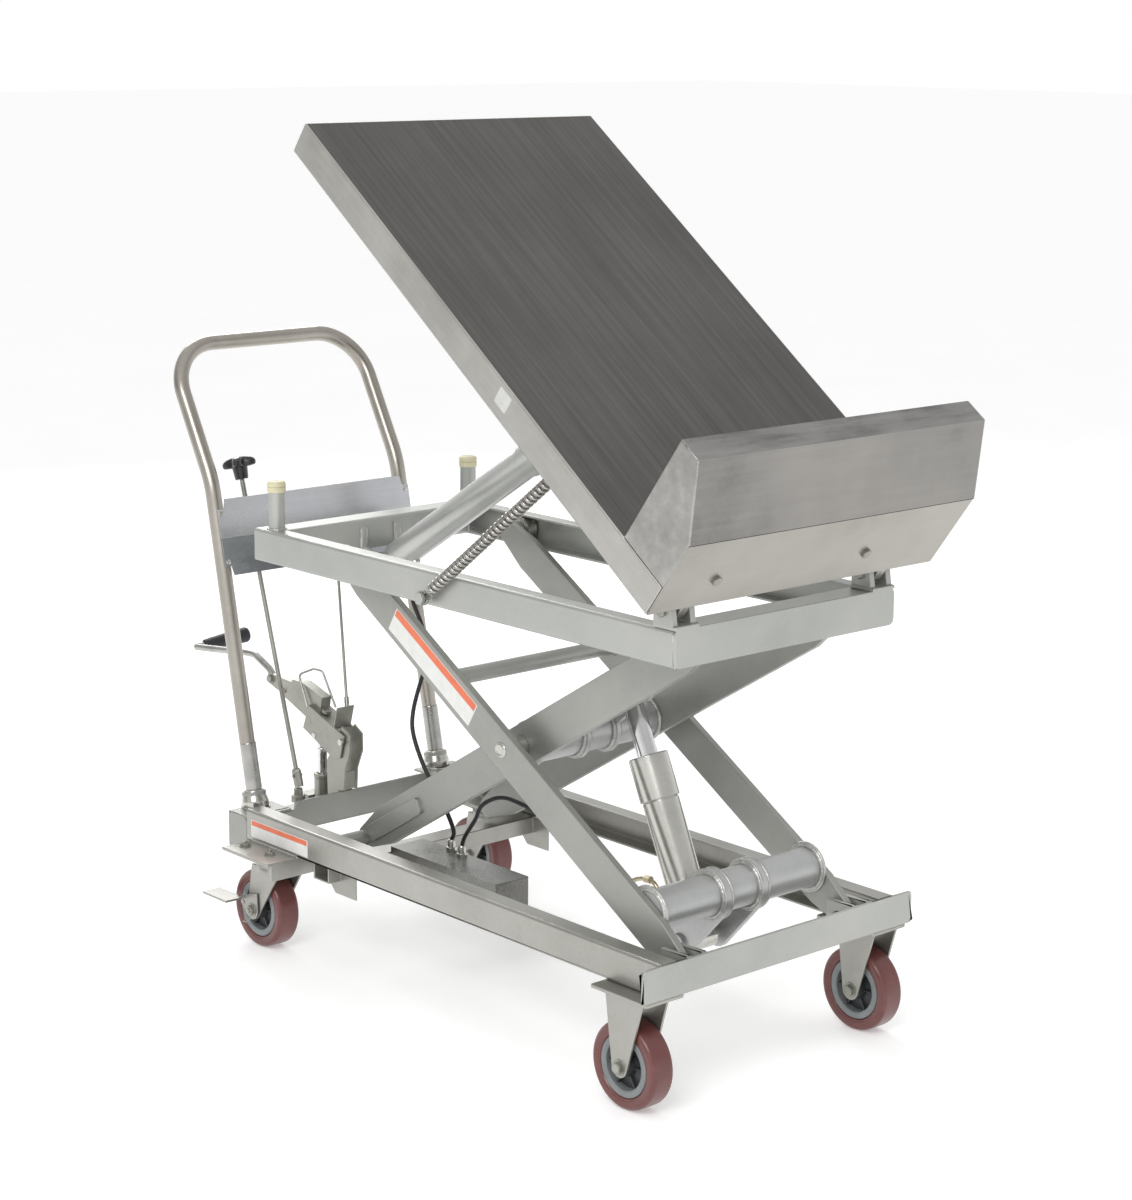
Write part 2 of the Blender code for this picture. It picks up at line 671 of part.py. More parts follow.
def outer_leg(label, side):
    outline = leg_outline(-LEG_LENGTH / 2, 0.029)
    leg = plate(f"outer_leg_{label}", outline, "XZ", sorted(both(side, OUTER_LEG_Y)))
    foot = Vector((0, 0, 0))
    middle = Vector((-LEG_LENGTH / 2, 0, 0))
    tip = Vector((-LEG_LENGTH, 0, 0))
    inner, outer = OUTER_LEG_Y
    join(leg,
         cross_pin("foot_pin", foot, both(side, (0.146, 0.187)), PIN_RADIUS),
         cross_pin("middle_pin", middle, both(side, (0.1190, outer + 0.004)), PIN_RADIUS),
         cross_pin("middle_washer", middle, both(side, (INNER_LEG_Y[1] + GAP, inner + 0.001)), 0.016),
         cross_pin("middle_head", middle, both(side, (outer - 0.001, outer + 0.007)), 0.012, 6),
         cross_pin("axle", tip, both(side, (inner + 0.002, 0.211)), AXLE_RADIUS),
         cross_pin("spacer", tip, both(side, (outer - 0.001, 0.1895)), 0.012))
    finish(leg, GALVANISED, OUTER, local=True)


def inner_leg(label, side):
    half = LEG_LENGTH / 2
    faces = sorted(both(side, INNER_LEG_Y))
    leg = plate(f"inner_leg_{label}", leg_outline(0, 0.031), "XZ", faces, [circle((0, 0), PIN_HOLE)])
    tip = Vector((half, 0, 0))
    foot = Vector((-half, 0, 0))
    inner, outer = INNER_LEG_Y
    doubler = plate("doubler", rectangle((-half + 0.020, -half + 0.165), (-0.013, 0.013), 0.006), "XZ",
                    sorted(both(side, (outer - 0.001, outer + 0.006))))
    join(leg, doubler,
         cross_pin("tip_pin", tip, both(side, (0.106, 0.146)), PIN_RADIUS),
         cross_pin("axle", foot, both(side, (inner + 0.002, 0.229)), AXLE_RADIUS),
         cross_pin("spacer", foot, both(side, (outer - 0.001, 0.2065)), 0.012))
    finish(leg, GALVANISED, INNER, local=True)


def roller(name, centre, y, radius, joint):
    bore = AXLE_RADIUS + 0.001
    start = Vector((centre.x, min(y), centre.z))
    width = abs(y[1] - y[0])
    profile = [(bore, 0), (radius, 0), (radius, width), (bore, width)]
    part = turned(name, profile, start, start + Vector((0, 1, 0)), closed=True)
    finish(part, BRIGHT, joint)


def ring_strap(ring, eye, eye_radius, faces, eye_hole=None):
    """A strap that wraps the torque tube and reaches out to a cylinder's pin."""
    outline = link_outline(flat(ring), TUBE_RADIUS + 0.007, flat(eye), eye_radius)
    holes = [circle(flat(ring), TUBE_RADIUS - 0.003, ROUND + 2)]
    if eye_hole:
        holes.append(circle(flat(eye), eye_hole))
    return plate("strap", outline, "XZ", faces, holes)


def lower_torque_tube():
    tube = plate("lower_torque_tube", circle(flat(TORQUE_TUBE), TUBE_RADIUS), "XZ", (-0.160, 0.160),
                 [circle(flat(TORQUE_TUBE), TUBE_RADIUS - 0.004)])
    straps = [ring_strap(TORQUE_TUBE, LIFT_BASE, 0.022, sorted(both(side, (0.032, 0.042))))
              for side in SIDES.values()]
    join(tube, *straps,
         cross_pin("base_pin", LIFT_BASE, (-0.040, 0.040), 0.009),
         cross_pin("near_head", LIFT_BASE, (-0.048, -0.041), 0.014),
         cross_pin("far_head", LIFT_BASE, (0.041, 0.048), 0.014))
    finish(tube, GALVANISED, OUTER)


def upper_torque_tube():
    tube = plate("upper_torque_tube", circle(flat(MIDDLE_PIVOT), TUBE_RADIUS), "XZ", (-0.1195, 0.1195),
                 [circle(flat(MIDDLE_PIVOT), 0.024)])
    extras = []
    for side in SIDES.values():
        extras.append(ring_strap(MIDDLE_PIVOT, LIFT_TIP, 0.022, sorted(both(side, (0.026, 0.034)))))
        extras.append(cross_pin("head", LIFT_TIP, both(side, (0.033, 0.041)), 0.012, 8))
    join(tube, *extras)
    finish(tube, GALVANISED, INNER)


def cross_rod():
    place = Vector((-0.100, 0, 0.508))
    finish(cross_pin("cross_rod", place, (-0.160, 0.160), 0.0125), GALVANISED, OUTER)


# ---------------------------------------------------------------- hydraulic cylinders
def cylinder_barrel(name, start, end, sizes, look, joint):
    """A barrel with an eye at its foot, a gland at its mouth and a blind bore for the rod."""
    radius, mouth, gland_radius, gland_from, bore, bore_from, eye_radius, eye_half, eye_hole = sizes
    foot = eye_radius * 0.85
    profile = [(0, foot), (radius - 0.002, foot), (radius, foot + 0.002), (radius, gland_from),
               (gland_radius, gland_from), (gland_radius, mouth),
               (bore, mouth), (bore, bore_from), (0, bore_from)]
    barrel = turned(name, profile, start, end, 20)
    eye = cross_pin("eye", start, (-eye_half, eye_half), eye_radius)
    join(barrel, eye)
    cut(barrel, cross_pin("eye_hole", start, (-0.05, 0.05), eye_hole))
    finish(barrel, look, joint)


def cylinder_rod(name, start, end, radius, from_start, eye_radius, eye_half, joint):
    direction = (end - start).normalized()
    rod = cylinder(name, start + direction * from_start, end - direction * eye_radius * 0.5, radius)
    join(rod, cross_pin("eye", end, (-eye_half, eye_half), eye_radius))
    finish(rod, CHROME, joint)


# ---------------------------------------------------------------- upper frame
def upper_rail(label, side):
    rail = plate(f"upper_rail_{label}", channel_outline(side, UPPER_RAIL_Y, UPPER_RAIL_Z), "YZ", UPPER_RAIL_X)
    post = Vector((-0.496, side * 0.195, UPPER_RAIL_Z[1] - 0.0005))
    bolt = Vector((SPRING_BASE.x, 0, SPRING_BASE.z))
    join(rail,
         cylinder("post", post, Vector((post.x, post.y, 0.748)), 0.013),
         cross_pin("spring_bolt", bolt, both(side, (UPPER_RAIL_Y[1] - 0.001, 0.2360)), 0.005, 8),
         cross_pin("spring_head", bolt, both(side, (0.2340, 0.2395)), 0.010, 6))
    finish(rail, GALVANISED, UPPER)
    cap = [(0, 0), (0.0145, 0), (0.0145, 0.0065), (0.0125, 0.0087), (0, 0.0087)]
    top = Vector((post.x, post.y, 0.748 + GAP))
    finish(turned(f"bumper_cap_{label}", cap, top, top + Vector((0, 0, 1))), CREAM, UPPER)


def upper_front_angle():
    face = rectangle((-0.2162, 0.2162), (0.628, 0.682), 0.009)
    angle = plate("upper_front_angle", face, "YZ", (0.4285, 0.4335))
    flange = box("flange", (0.3835, 0.4290), (-0.1875, 0.1875), (0.676, 0.680))
    extras = [flange]
    for side in SIDES.values():
        for y in ((0.108, 0.116), (0.136, 0.144)):
            extras.append(pivot_lug(both(side, y), (0.385, 0.4290), (0.632, 0.6765), UPPER_PIVOT))
        extras.append(box("hinge_foot", (0.388, 0.4335), both(side, (0.171, 0.2162)), (0.6803, 0.686)))
        for y in ((0.172, 0.182), (0.206, 0.2162)):
            cheek = hull([(0.389, 0.685), (0.4275, 0.685), *circle(flat(TABLE_HINGE), 0.0175)])
            extras.append(plate("hinge_cheek", cheek, "XZ", sorted(both(side, y))))
        extras.append(cross_pin("hinge_pin", TABLE_HINGE, both(side, (0.173, 0.2155)), 0.007, 12))
    join(angle, *extras)
    finish(angle, GALVANISED, UPPER)


def upper_rear_beam():
    section_x = (-0.529, -0.483)
    section_z = (0.629, 0.679)
    wall = 0.003
    bore = rectangle((section_x[0] + wall, section_x[1] - wall), (section_z[0] + wall, section_z[1] - wall))
    beam = plate("upper_rear_beam", rectangle(section_x, section_z), "XZ", (-0.187, 0.187), [bore])
    extras = []
    front = section_x[1] - 0.0015
    bottom = section_z[0] + 0.0015
    cheek_y = (0.030, 0.038)
    root_x = (front, section_x[1] + 0.004)
    cheek = hull([(section_x[0] + 0.014, bottom), (front, bottom), (front, 0.638),
                  *circle(flat(TILT_BASE), 0.018)])
    for side in SIDES.values():
        extras.append(plate("cheek", cheek, "XZ", sorted(both(side, cheek_y))))
        extras.append(box("cheek_root", root_x, both(side, cheek_y), (bottom, 0.668)))
        extras.append(cross_pin("head", TILT_BASE, both(side, (0.037, 0.044)), 0.012, 8))
    extras.append(cross_pin("pin", TILT_BASE, (-0.038, 0.038), 0.008, 12))
    join(beam, *extras)
    finish(beam, GALVANISED, UPPER)


# ---------------------------------------------------------------- tilting top
def table_pan():
    """Drawn level, with the hinge at the origin; the hinge's empty tilts it."""
    lip_end = TABLE_END - TABLE_SHEET - GAP
    x = (TABLE_END - TABLE_LENGTH, lip_end)
    z = (TABLE_TOP - TABLE_APRON, TABLE_TOP)
    under = TABLE_TOP - TABLE_SHEET
    pan = box("table_pan", x, (-TABLE_HALF_WIDTH, TABLE_HALF_WIDTH), z)
    inside = TABLE_HALF_WIDTH - TABLE_SHEET
    beyond = TABLE_HALF_WIDTH + GAP
    rebate = box("rebate", (TABLE_END - TOE_DEPTH - GAP, TABLE_END), (-beyond, beyond),
                 (TABLE_TOP - LIP_REBATE, TABLE_TOP + GAP))
    hollow_x = (x[0] + TABLE_SHEET, x[1] - TABLE_SHEET)
    cut(pan, box("hollow", hollow_x, (-inside, inside), (z[0] - 0.02, under)), rebate)
    root = under + 0.001
    extras = [box("landing_bar", (-0.917, -0.887), (-inside - 0.001, inside + 0.001), (under - 0.023, root))]
    hinge_lug = hull([(-0.032, root), (0.013, root), *circle((0, 0), 0.0155)])
    tilt_tip = flat(TILT_TIP_ON_TABLE)
    spring_tip = flat(SPRING_TIP_ON_TABLE)
    for side in SIDES.values():
        extras.append(plate("hinge_lug", hinge_lug, "XZ", sorted(both(side, (0.186, 0.202))),
                            [circle((0, 0), 0.008, 12)]))
        tilt_lug = hull([(tilt_tip[0] - 0.024, root), (tilt_tip[0] + 0.024, root), *circle(tilt_tip, 0.017)])
        extras.append(plate("tilt_lug", tilt_lug, "XZ", sorted(both(side, (0.022, 0.030)))))
        extras.append(cross_pin("tilt_head", TILT_TIP_ON_TABLE, both(side, (0.029, 0.036)), 0.011, 8))
        spring_lug = hull([(spring_tip[0] - 0.02, root), (spring_tip[0] + 0.02, root),
                           *circle(spring_tip, 0.012)])
        extras.append(plate("spring_lug", spring_lug, "XZ", sorted(both(side, (0.209, 0.215)))))
        extras.append(cross_pin("spring_stub", SPRING_TIP_ON_TABLE, both(side, (0.214, 0.2375)), 0.005, 8))
    join(pan, *extras)
    finish(pan, STAINLESS, TABLE, local=True)


def toe_outline(inset, floor):
    """The lip's cross-section above the top's face, set in by a wall."""
    back = TABLE_END - TOE_DEPTH
    slope = atan2(TOE_DEPTH - TOE_CREST, TOE_HEIGHT - TOE_FOLD)
    fold_x = TABLE_END - inset
    crest_z = TABLE_TOP + TOE_HEIGHT - inset
    fold_z = TABLE_TOP + TOE_FOLD - inset * sin(slope / 2) / cos(slope / 2)
    crest_x = fold_x - (crest_z - fold_z) * sin(slope) / cos(slope)
    return [(back + inset, floor), (fold_x, floor), (fold_x, fold_z),
            (crest_x, crest_z), (back + inset, crest_z)]


def toe_box():
    floor = TABLE_TOP + GAP / 3
    shell = plate("toe_box", toe_outline(0, floor), "XZ", (-TABLE_HALF_WIDTH, TABLE_HALF_WIDTH))
    inside = TABLE_HALF_WIDTH - TABLE_SHEET
    hollow = plate("hollow", toe_outline(TABLE_SHEET, floor - 0.01), "XZ", (-inside, inside))
    cut(shell, hollow)
    skirt = box("skirt", (TABLE_END - TABLE_SHEET, TABLE_END), (-TABLE_HALF_WIDTH, TABLE_HALF_WIDTH),
                (TABLE_TOP - TABLE_APRON, TABLE_TOP + 0.02))
    join(shell, skirt)
    finish(shell, BRIGHT, TABLE, local=True)


def balance_spring(label, side, joint):
    """A pull spring: a loop at each end round its bolt, and an open coil between."""
    start = Vector((SPRING_BASE.x, side * SPRING_BASE.y, SPRING_BASE.z))
    end = Vector((SPRING_TIP.x, side * SPRING_TIP.y, SPRING_TIP.z))
    length = (end - start).length
    turns = 16
    points_per_turn = 6
    coil_radius = 0.0065
    wire_radius = 0.0024
    loop_radius = 0.0085
    coil_from = 0.026
    path = []
    for step in range(9):
        angle = radians(48 + step * 39)
        path.append(Vector((loop_radius * sin(angle), 0, loop_radius * cos(angle))))
    path.append(Vector((0, 0, coil_from - 0.008)))
    coil = []
    count = turns * points_per_turn
    for step in range(count + 1):
        angle = 2 * pi * step / points_per_turn
        height = coil_from + (length - 2 * coil_from) * step / count
        coil.append(Vector((coil_radius * cos(angle), coil_radius * sin(angle), height)))
    far_loop = [Vector((-point.x, point.y, length - point.z)) for point in path[::-1]]
    part = wire(f"balance_spring_{label}", path + coil + far_loop, wire_radius, 0)
    part.data.transform(frame_along(start, end))
    finish(part, SPRING_STEEL, joint)


# ---------------------------------------------------------------- foot pump
def pump_plunger(joint):
    foot = Vector((PLUNGER_X, PUMP_Y, 0.212))
    finish(cylinder("pump_plunger", foot, Vector((foot.x, foot.y, 0.285)), 0.0085, 20), CHROME, joint)


def pump_lever(joint):
    side_outline = [(-0.611, 0.348), (-0.6275, 0.306), (-0.544, 0.270), (-0.525, 0.274), (-0.513, 0.314)]
    width = 0.018
    wall = 0.003
    lever = plate("pump_lever", side_outline, "XZ", (PUMP_Y - width, PUMP_Y - width + wall))
    far_side = plate("far_side", side_outline, "XZ", (PUMP_Y + width - wall, PUMP_Y + width))
    roof = plate("roof", [(-0.6105, 0.348), (-0.6115, 0.3445), (-0.5410, 0.3200), (-0.5400, 0.3235)], "XZ",
                 (PUMP_Y - width, PUMP_Y + width))
    arm = plate("arm", [(-0.6665, 0.380), (-0.695, 0.347), (-0.628, 0.322), (-0.590, 0.334), (-0.584, 0.364),
                        (-0.6386, 0.380)], "XZ", (PUMP_Y - 0.010, PUMP_Y + 0.010))
    flat_arm = plate("flat_arm", [(-0.742, 0.3775), (-0.745, 0.361), (-0.695, 0.346), (-0.655, 0.350),
                                  (-0.655, 0.372)], "XZ", (PUMP_Y - 0.006, PUMP_Y + 0.006))
    tab = plate("tab", [(-0.5435, 0.324), (-0.5410, 0.322), (-0.5310, 0.358), (-0.5335, 0.3585)], "XZ",
                (PUMP_Y - 0.0175, PUMP_Y + 0.0175))
    pivot = cross_pin("pivot", PEDAL_PIVOT, (PUMP_Y - width - 0.004, PUMP_Y - width + 0.001), 0.005, 12)
    join(lever, far_side, roof, arm, flat_arm, tab, pivot)
    finish(lever, GALVANISED, joint)


def pedal_bar(joint):
    knee = [(-0.7455, 0.382), (-0.789, 0.400), (-0.820, 0.398), (-0.877, 0.391), (-0.973, 0.380)]
    route = [Vector((x, PUMP_Y, z)) for x, z in knee] + [Vector((-0.973, PUMP_Y + 0.019, 0.380))]
    finish(wire("pedal_bar", rounded_path(route, (0.03, 0.03, 0.05, 0.011), 3), 0.006, 1), CHROME, joint)
    y = PUMP_Y + 0.0195
    outline = [(y, 0.3735), (y + 0.088, 0.3700), (y + 0.093, 0.375), (y + 0.093, 0.397), (y + 0.088, 0.402),
               (y, 0.3865)]
    finish(plate("pedal_grip", outline, "YZ", (-0.986, -0.958)), BLACK, joint)


# ---------------------------------------------------------------- hoses
TILT_HOSE_ROUTE = [(-0.4010, 0.0, 0.5680), (-0.3990, 0.001, 0.5500), (-0.3810, 0.003, 0.5180),
                   (-0.3560, 0.0, 0.4750), (-0.3610, -0.015, 0.4290), (-0.3640, -0.028, 0.3815),
                   (-0.3510, -0.038, 0.3480), (-0.3150, -0.044, 0.3010), (-0.2690, -0.046, 0.2570),
                   (-0.2440, -0.043, 0.2150), (-0.2500, -0.042, 0.1960), (-0.2500, -0.042, 0.1812)]
LIFT_HOSE_ROUTE = [(-0.2146, -0.050, 0.1812), (-0.2140, -0.050, 0.1960), (-0.1980, -0.057, 0.2180),
                   (-0.1600, -0.068, 0.2560), (-0.1341, -0.075, 0.2868), (-0.0988, -0.070, 0.3057),
                   (-0.0588, -0.065, 0.3051), (0.0200, -0.055, 0.2880), (0.0780, -0.045, 0.2640),
                   (0.1100, -0.0390, 0.2450)]


def hose(name, route, radius, parent):
    finish(wire(name, smooth_path(route, 24), radius, 1), HOSE_RUBBER, parent)


def hose_end(joint):
    """The crimped fitting at the tilt hose's upper end."""
    x, y, z = TILT_HOSE_ROUTE[0]
    start = Vector((x, y, z + 3 * GAP))
    profile = [(0, 0), (0.006, 0), (0.006, 0.012), (0.0045, 0.014), (0, 0.014)]
    finish(turned("hose_end", profile, start, start + Vector((0, 0, 1)), 12), BRIGHT, joint)


# ---------------------------------------------------------------- assembly
def build_base():
    for label, side in SIDES.items():
        lower_rail(label, side)
        front_fork(label, side)
        axle = Vector((FRONT_AXLE.x, side * FRONT_AXLE.y, FRONT_AXLE.z))
        wheel(f"front_{label}", axle, add_empty(f"front_axle_{label}", axle, parent=ROOT))
    front_cross_angle()
    rear_crossmember()
    mid_cross_tube()
    handle_tube()
    handle_panel()
    valve_box()
    pump_body()
    pump_bracket()
    release_rod(add_empty("release_joint", RELEASE_FOOT, parent=ROOT))
    selector_rod(add_empty("selector_joint", SELECTOR_FOOT, parent=ROOT), SELECTOR_FOOT, SELECTOR_TOP)


def build_rear_casters():
    for label, side in SIDES.items():
        swivel = Vector((SWIVEL_AXIS.x, side * SWIVEL_AXIS.y, SWIVEL_AXIS.z))
        joint = add_empty(f"swivel_joint_{label}", swivel, parent=ROOT)
        axle = swivel_fork(label, side, joint)
        wheel(f"rear_{label}", axle, add_empty(f"rear_axle_{label}", axle, parent=ROOT))
        brake_pedal(label, side, axle, add_empty(f"brake_joint_{label}", axle, parent=ROOT))


def build_scissor():
    for label, side in SIDES.items():
        outer_leg(label, side)
        inner_leg(label, side)
        upper = add_empty(f"upper_roller_axle_{label}", UPPER_ROLLER, parent=ROOT)
        lower = add_empty(f"lower_roller_axle_{label}", LOWER_ROLLER, parent=ROOT)
        roller(f"upper_roller_{label}", UPPER_ROLLER, both(side, (0.190, 0.210)), 0.0205, upper)
        roller(f"lower_roller_{label}", LOWER_ROLLER, both(side, (0.207, 0.2285)), 0.0195, lower)
    lower_torque_tube()
    upper_torque_tube()
    cross_rod()


def build_upper_frame():
    for label, side in SIDES.items():
        upper_rail(label, side)
    upper_front_angle()
    upper_rear_beam()
    table_pan()
    toe_box()
    for label, side in SIDES.items():
        balance_spring(label, side, joint_along(f"spring_joint_{label}", SPRING_BASE * Vector((1, side, 1)),
                                                SPRING_TIP * Vector((1, side, 1))))


def build_hydraulics():
    lift = joint_along("lift_cylinder_joint", LIFT_BASE, LIFT_TIP)
    lift_sizes = (0.0275, 0.274, 0.030, 0.206, 0.0165, 0.035, 0.018, 0.020, 0.010)
    cylinder_barrel("lift_barrel", LIFT_BASE, LIFT_TIP, lift_sizes, GALVANISED, lift)
    cylinder_rod("lift_rod", LIFT_BASE, LIFT_TIP, 0.0155, 0.115, 0.018, 0.020, lift)
    tilt = joint_along("tilt_cylinder_joint", TILT_BASE, TILT_TIP)
    tilt_sizes = (0.0245, 0.425, 0.0275, 0.395, 0.0150, 0.040, 0.017, 0.022, 0.009)
    cylinder_barrel("tilt_barrel", TILT_BASE, TILT_TIP, tilt_sizes, GALVANISED, tilt)
    cylinder_rod("tilt_rod", TILT_BASE, TILT_TIP, 0.014, 0.235, 0.016, 0.020, tilt)


def build_pump():
    pump_plunger(add_empty("plunger_joint", (PLUNGER_X, PUMP_Y, 0.212), parent=ROOT))
    pedal = add_empty("pedal_joint", PEDAL_PIVOT, parent=ROOT)
    pump_lever(pedal)
    pedal_bar(pedal)


def build_hoses():
    hose("tilt_hose", TILT_HOSE_ROUTE, 0.0035, BASE)
    hose("lift_hose", LIFT_HOSE_ROUTE, 0.0035, BASE)
    hose_end(add_empty("hose_end_joint", TILT_HOSE_ROUTE[0], parent=ROOT))


def centre_on_footprint():
    """Move the whole machine so that the middle of its box is over the origin."""
    bpy.context.view_layer.update()
    corners = [part.matrix_world @ vertex.co for part in PARTS.objects if part.type == "MESH"
               for vertex in part.data.vertices]
    ROOT.location.x = -(min(corner.x for corner in corners) + max(corner.x for corner in corners)) / 2


build_base()
build_rear_casters()
build_scissor()
build_upper_frame()
build_hydraulics()
build_pump()
build_hoses()
centre_on_footprint()
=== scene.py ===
"""Looks for the scissor lift table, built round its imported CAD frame.

Sizes are metres.  Shapes are drawn in the machine's own frame, as in part.py: +X towards the
lip, -Y the near side.  The row frame has its origin under the middle of the machine's box,
SHIFT further along X, and piece() moves each shape there.
"""
from math import asin, atan2, cos, pi, radians, sin
from random import Random

import bmesh
import bpy
from mathutils import Matrix, Vector


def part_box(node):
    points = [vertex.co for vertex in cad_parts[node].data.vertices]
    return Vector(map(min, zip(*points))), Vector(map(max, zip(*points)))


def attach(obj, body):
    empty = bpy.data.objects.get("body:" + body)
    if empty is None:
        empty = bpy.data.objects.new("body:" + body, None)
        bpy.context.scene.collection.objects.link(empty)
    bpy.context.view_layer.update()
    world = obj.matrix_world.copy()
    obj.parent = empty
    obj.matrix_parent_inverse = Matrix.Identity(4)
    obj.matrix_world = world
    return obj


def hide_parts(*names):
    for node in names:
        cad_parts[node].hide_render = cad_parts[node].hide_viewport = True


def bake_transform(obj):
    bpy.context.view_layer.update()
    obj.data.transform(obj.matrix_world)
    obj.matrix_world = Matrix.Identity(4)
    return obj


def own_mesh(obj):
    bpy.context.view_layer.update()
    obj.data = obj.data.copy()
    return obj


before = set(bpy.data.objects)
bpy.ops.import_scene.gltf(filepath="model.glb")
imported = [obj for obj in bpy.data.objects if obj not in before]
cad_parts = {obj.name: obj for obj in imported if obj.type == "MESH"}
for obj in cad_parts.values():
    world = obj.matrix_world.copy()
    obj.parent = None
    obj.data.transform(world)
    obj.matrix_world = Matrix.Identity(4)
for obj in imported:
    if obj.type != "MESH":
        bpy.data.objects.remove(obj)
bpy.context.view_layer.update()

# ---------------------------------------------------------------- driving dimensions, as in part.py
SIDES = {"near": -1, "far": 1}
LEG_LENGTH = 0.8879
LIFT_ANGLE = radians(31.13)
TABLE_ANGLE = radians(36.5)
LOWER_PIVOT = Vector((0.404, 0, 0.195))
LEG_REACH = Vector((-LEG_LENGTH * cos(LIFT_ANGLE), 0, LEG_LENGTH * sin(LIFT_ANGLE)))
MIDDLE_PIVOT = LOWER_PIVOT + LEG_REACH / 2
UPPER_PIVOT = LOWER_PIVOT + Vector((0, 0, LEG_REACH.z))
UPPER_ROLLER = LOWER_PIVOT + LEG_REACH
LOWER_ROLLER = LOWER_PIVOT + Vector((LEG_REACH.x, 0, 0))
TABLE_HINGE = UPPER_PIVOT + Vector((0.003, 0, 0.05))
OUTER_LEG_Y = (0.1605, 0.1725)
INNER_LEG_Y = (0.12, 0.132)
PIN_RADIUS = 0.0095
AXLE_RADIUS = 0.0075
TABLE_END = 0.0249
TABLE_TOP = 0.08
TABLE_HALF_WIDTH = 0.2797
TOE_HEIGHT = 0.177
TOE_FOLD = 0.078
WHEEL_RADIUS = 0.0635
TOE_DEPTH = 0.095
TOE_CREST = 0.039
TABLE_APRON = 0.0507
FRONT_AXLE = Vector((0.379, 0.233, WHEEL_RADIUS))
SWIVEL_AXIS = Vector((-0.4665, 0.225, 0.165))
REAR_TRAIL = 0.031
LIFT_BASE = Vector((0.27, 0, 0.165))
LIFT_TIP = Vector((0.114, 0, 0.502))
TORQUE_TUBE = Vector((0.33, 0, 0.253))
TUBE_RADIUS = 0.03
CROSS_ROD = Vector((-0.1, 0, 0.508))
TILT_BASE = Vector((-0.452, 0, 0.611))
TILT_TIP_ON_TABLE = Vector((-0.3815, 0, 0.0448))
SPRING_BASE = Vector((-0.085, 0.2285, 0.642))
SPRING_TIP_ON_TABLE = Vector((-0.247, 0.2285, 0.0362))
HANDLE_FOOT = Vector((-0.574, 0.19, 0.217))
HANDLE_BEND = Vector((-0.683, 0.19, 0.73))
HANDLE_TOP = Vector((-0.8, 0.19, 0.94))
HANDLE_RADIUS = 0.0127
PUMP_Y = -0.037
PEDAL_PIVOT = Vector((-0.52, PUMP_Y, 0.303))
PLUNGER_X = -0.598
RELEASE_FOOT = Vector((-0.553, -0.12, 0.243))
RELEASE_KNOB = Vector((-0.7065, -0.12, 0.7525))
SELECTOR_FOOT = Vector((-0.56, -0.0125, 0.345))
SELECTOR_TOP = Vector((-0.676, 0.0545, 0.6))

SHIFT = sum(corner.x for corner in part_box("cross_rod")) / 2 - CROSS_ROD.x
TO_ROW = Matrix.Translation((SHIFT, 0, 0))


def turned_frame(origin, angle):
    """A frame at origin, turned about Y."""
    return Matrix.Translation(origin) @ Matrix.Rotation(angle, 4, "Y")


IDENTITY = Matrix.Identity(4)
UP = Vector((0, 0, 1))
ACROSS = Vector((0, 1, 0))
SAME_WAY = 0.97                   # a dot product above this means two directions agree
SHARP_ANGLE = radians(50)
MERGE_DISTANCE = 2e-6
OUTER_FRAME = turned_frame(LOWER_PIVOT, LIFT_ANGLE)
INNER_FRAME = turned_frame(MIDDLE_PIVOT, -LIFT_ANGLE)
TABLE_FRAME = turned_frame(TABLE_HINGE, TABLE_ANGLE)
TILT_TIP = TABLE_FRAME @ TILT_TIP_ON_TABLE
SPRING_TIP = TABLE_FRAME @ SPRING_TIP_ON_TABLE


# ---------------------------------------------------------------- materials
BUMP_DEPTH = 0.0002


def add_node(tree, kind, feeds=(), **inputs):
    """A node with its unlinked inputs set, fed by (inlet, source, output) links."""
    node = tree.nodes.new("ShaderNode" + kind)
    for inlet, value in inputs.items():
        node.inputs[inlet.replace("_", " ")].default_value = value
    feed(tree, node, feeds)
    return node


def feed(tree, node, feeds):
    for inlet, source, output in feeds:
        tree.links.new(source.outputs[output], node.inputs[inlet])


def set_ramp(ramp, stops):
    """Puts (position, colour) stops on a colour ramp, which starts with two."""
    elements = ramp.color_ramp.elements
    for index, (at, colour) in enumerate(stops):
        element = elements[index] if index < 2 else elements.new(at)
        element.position = at
        element.color = (*colour, 1)


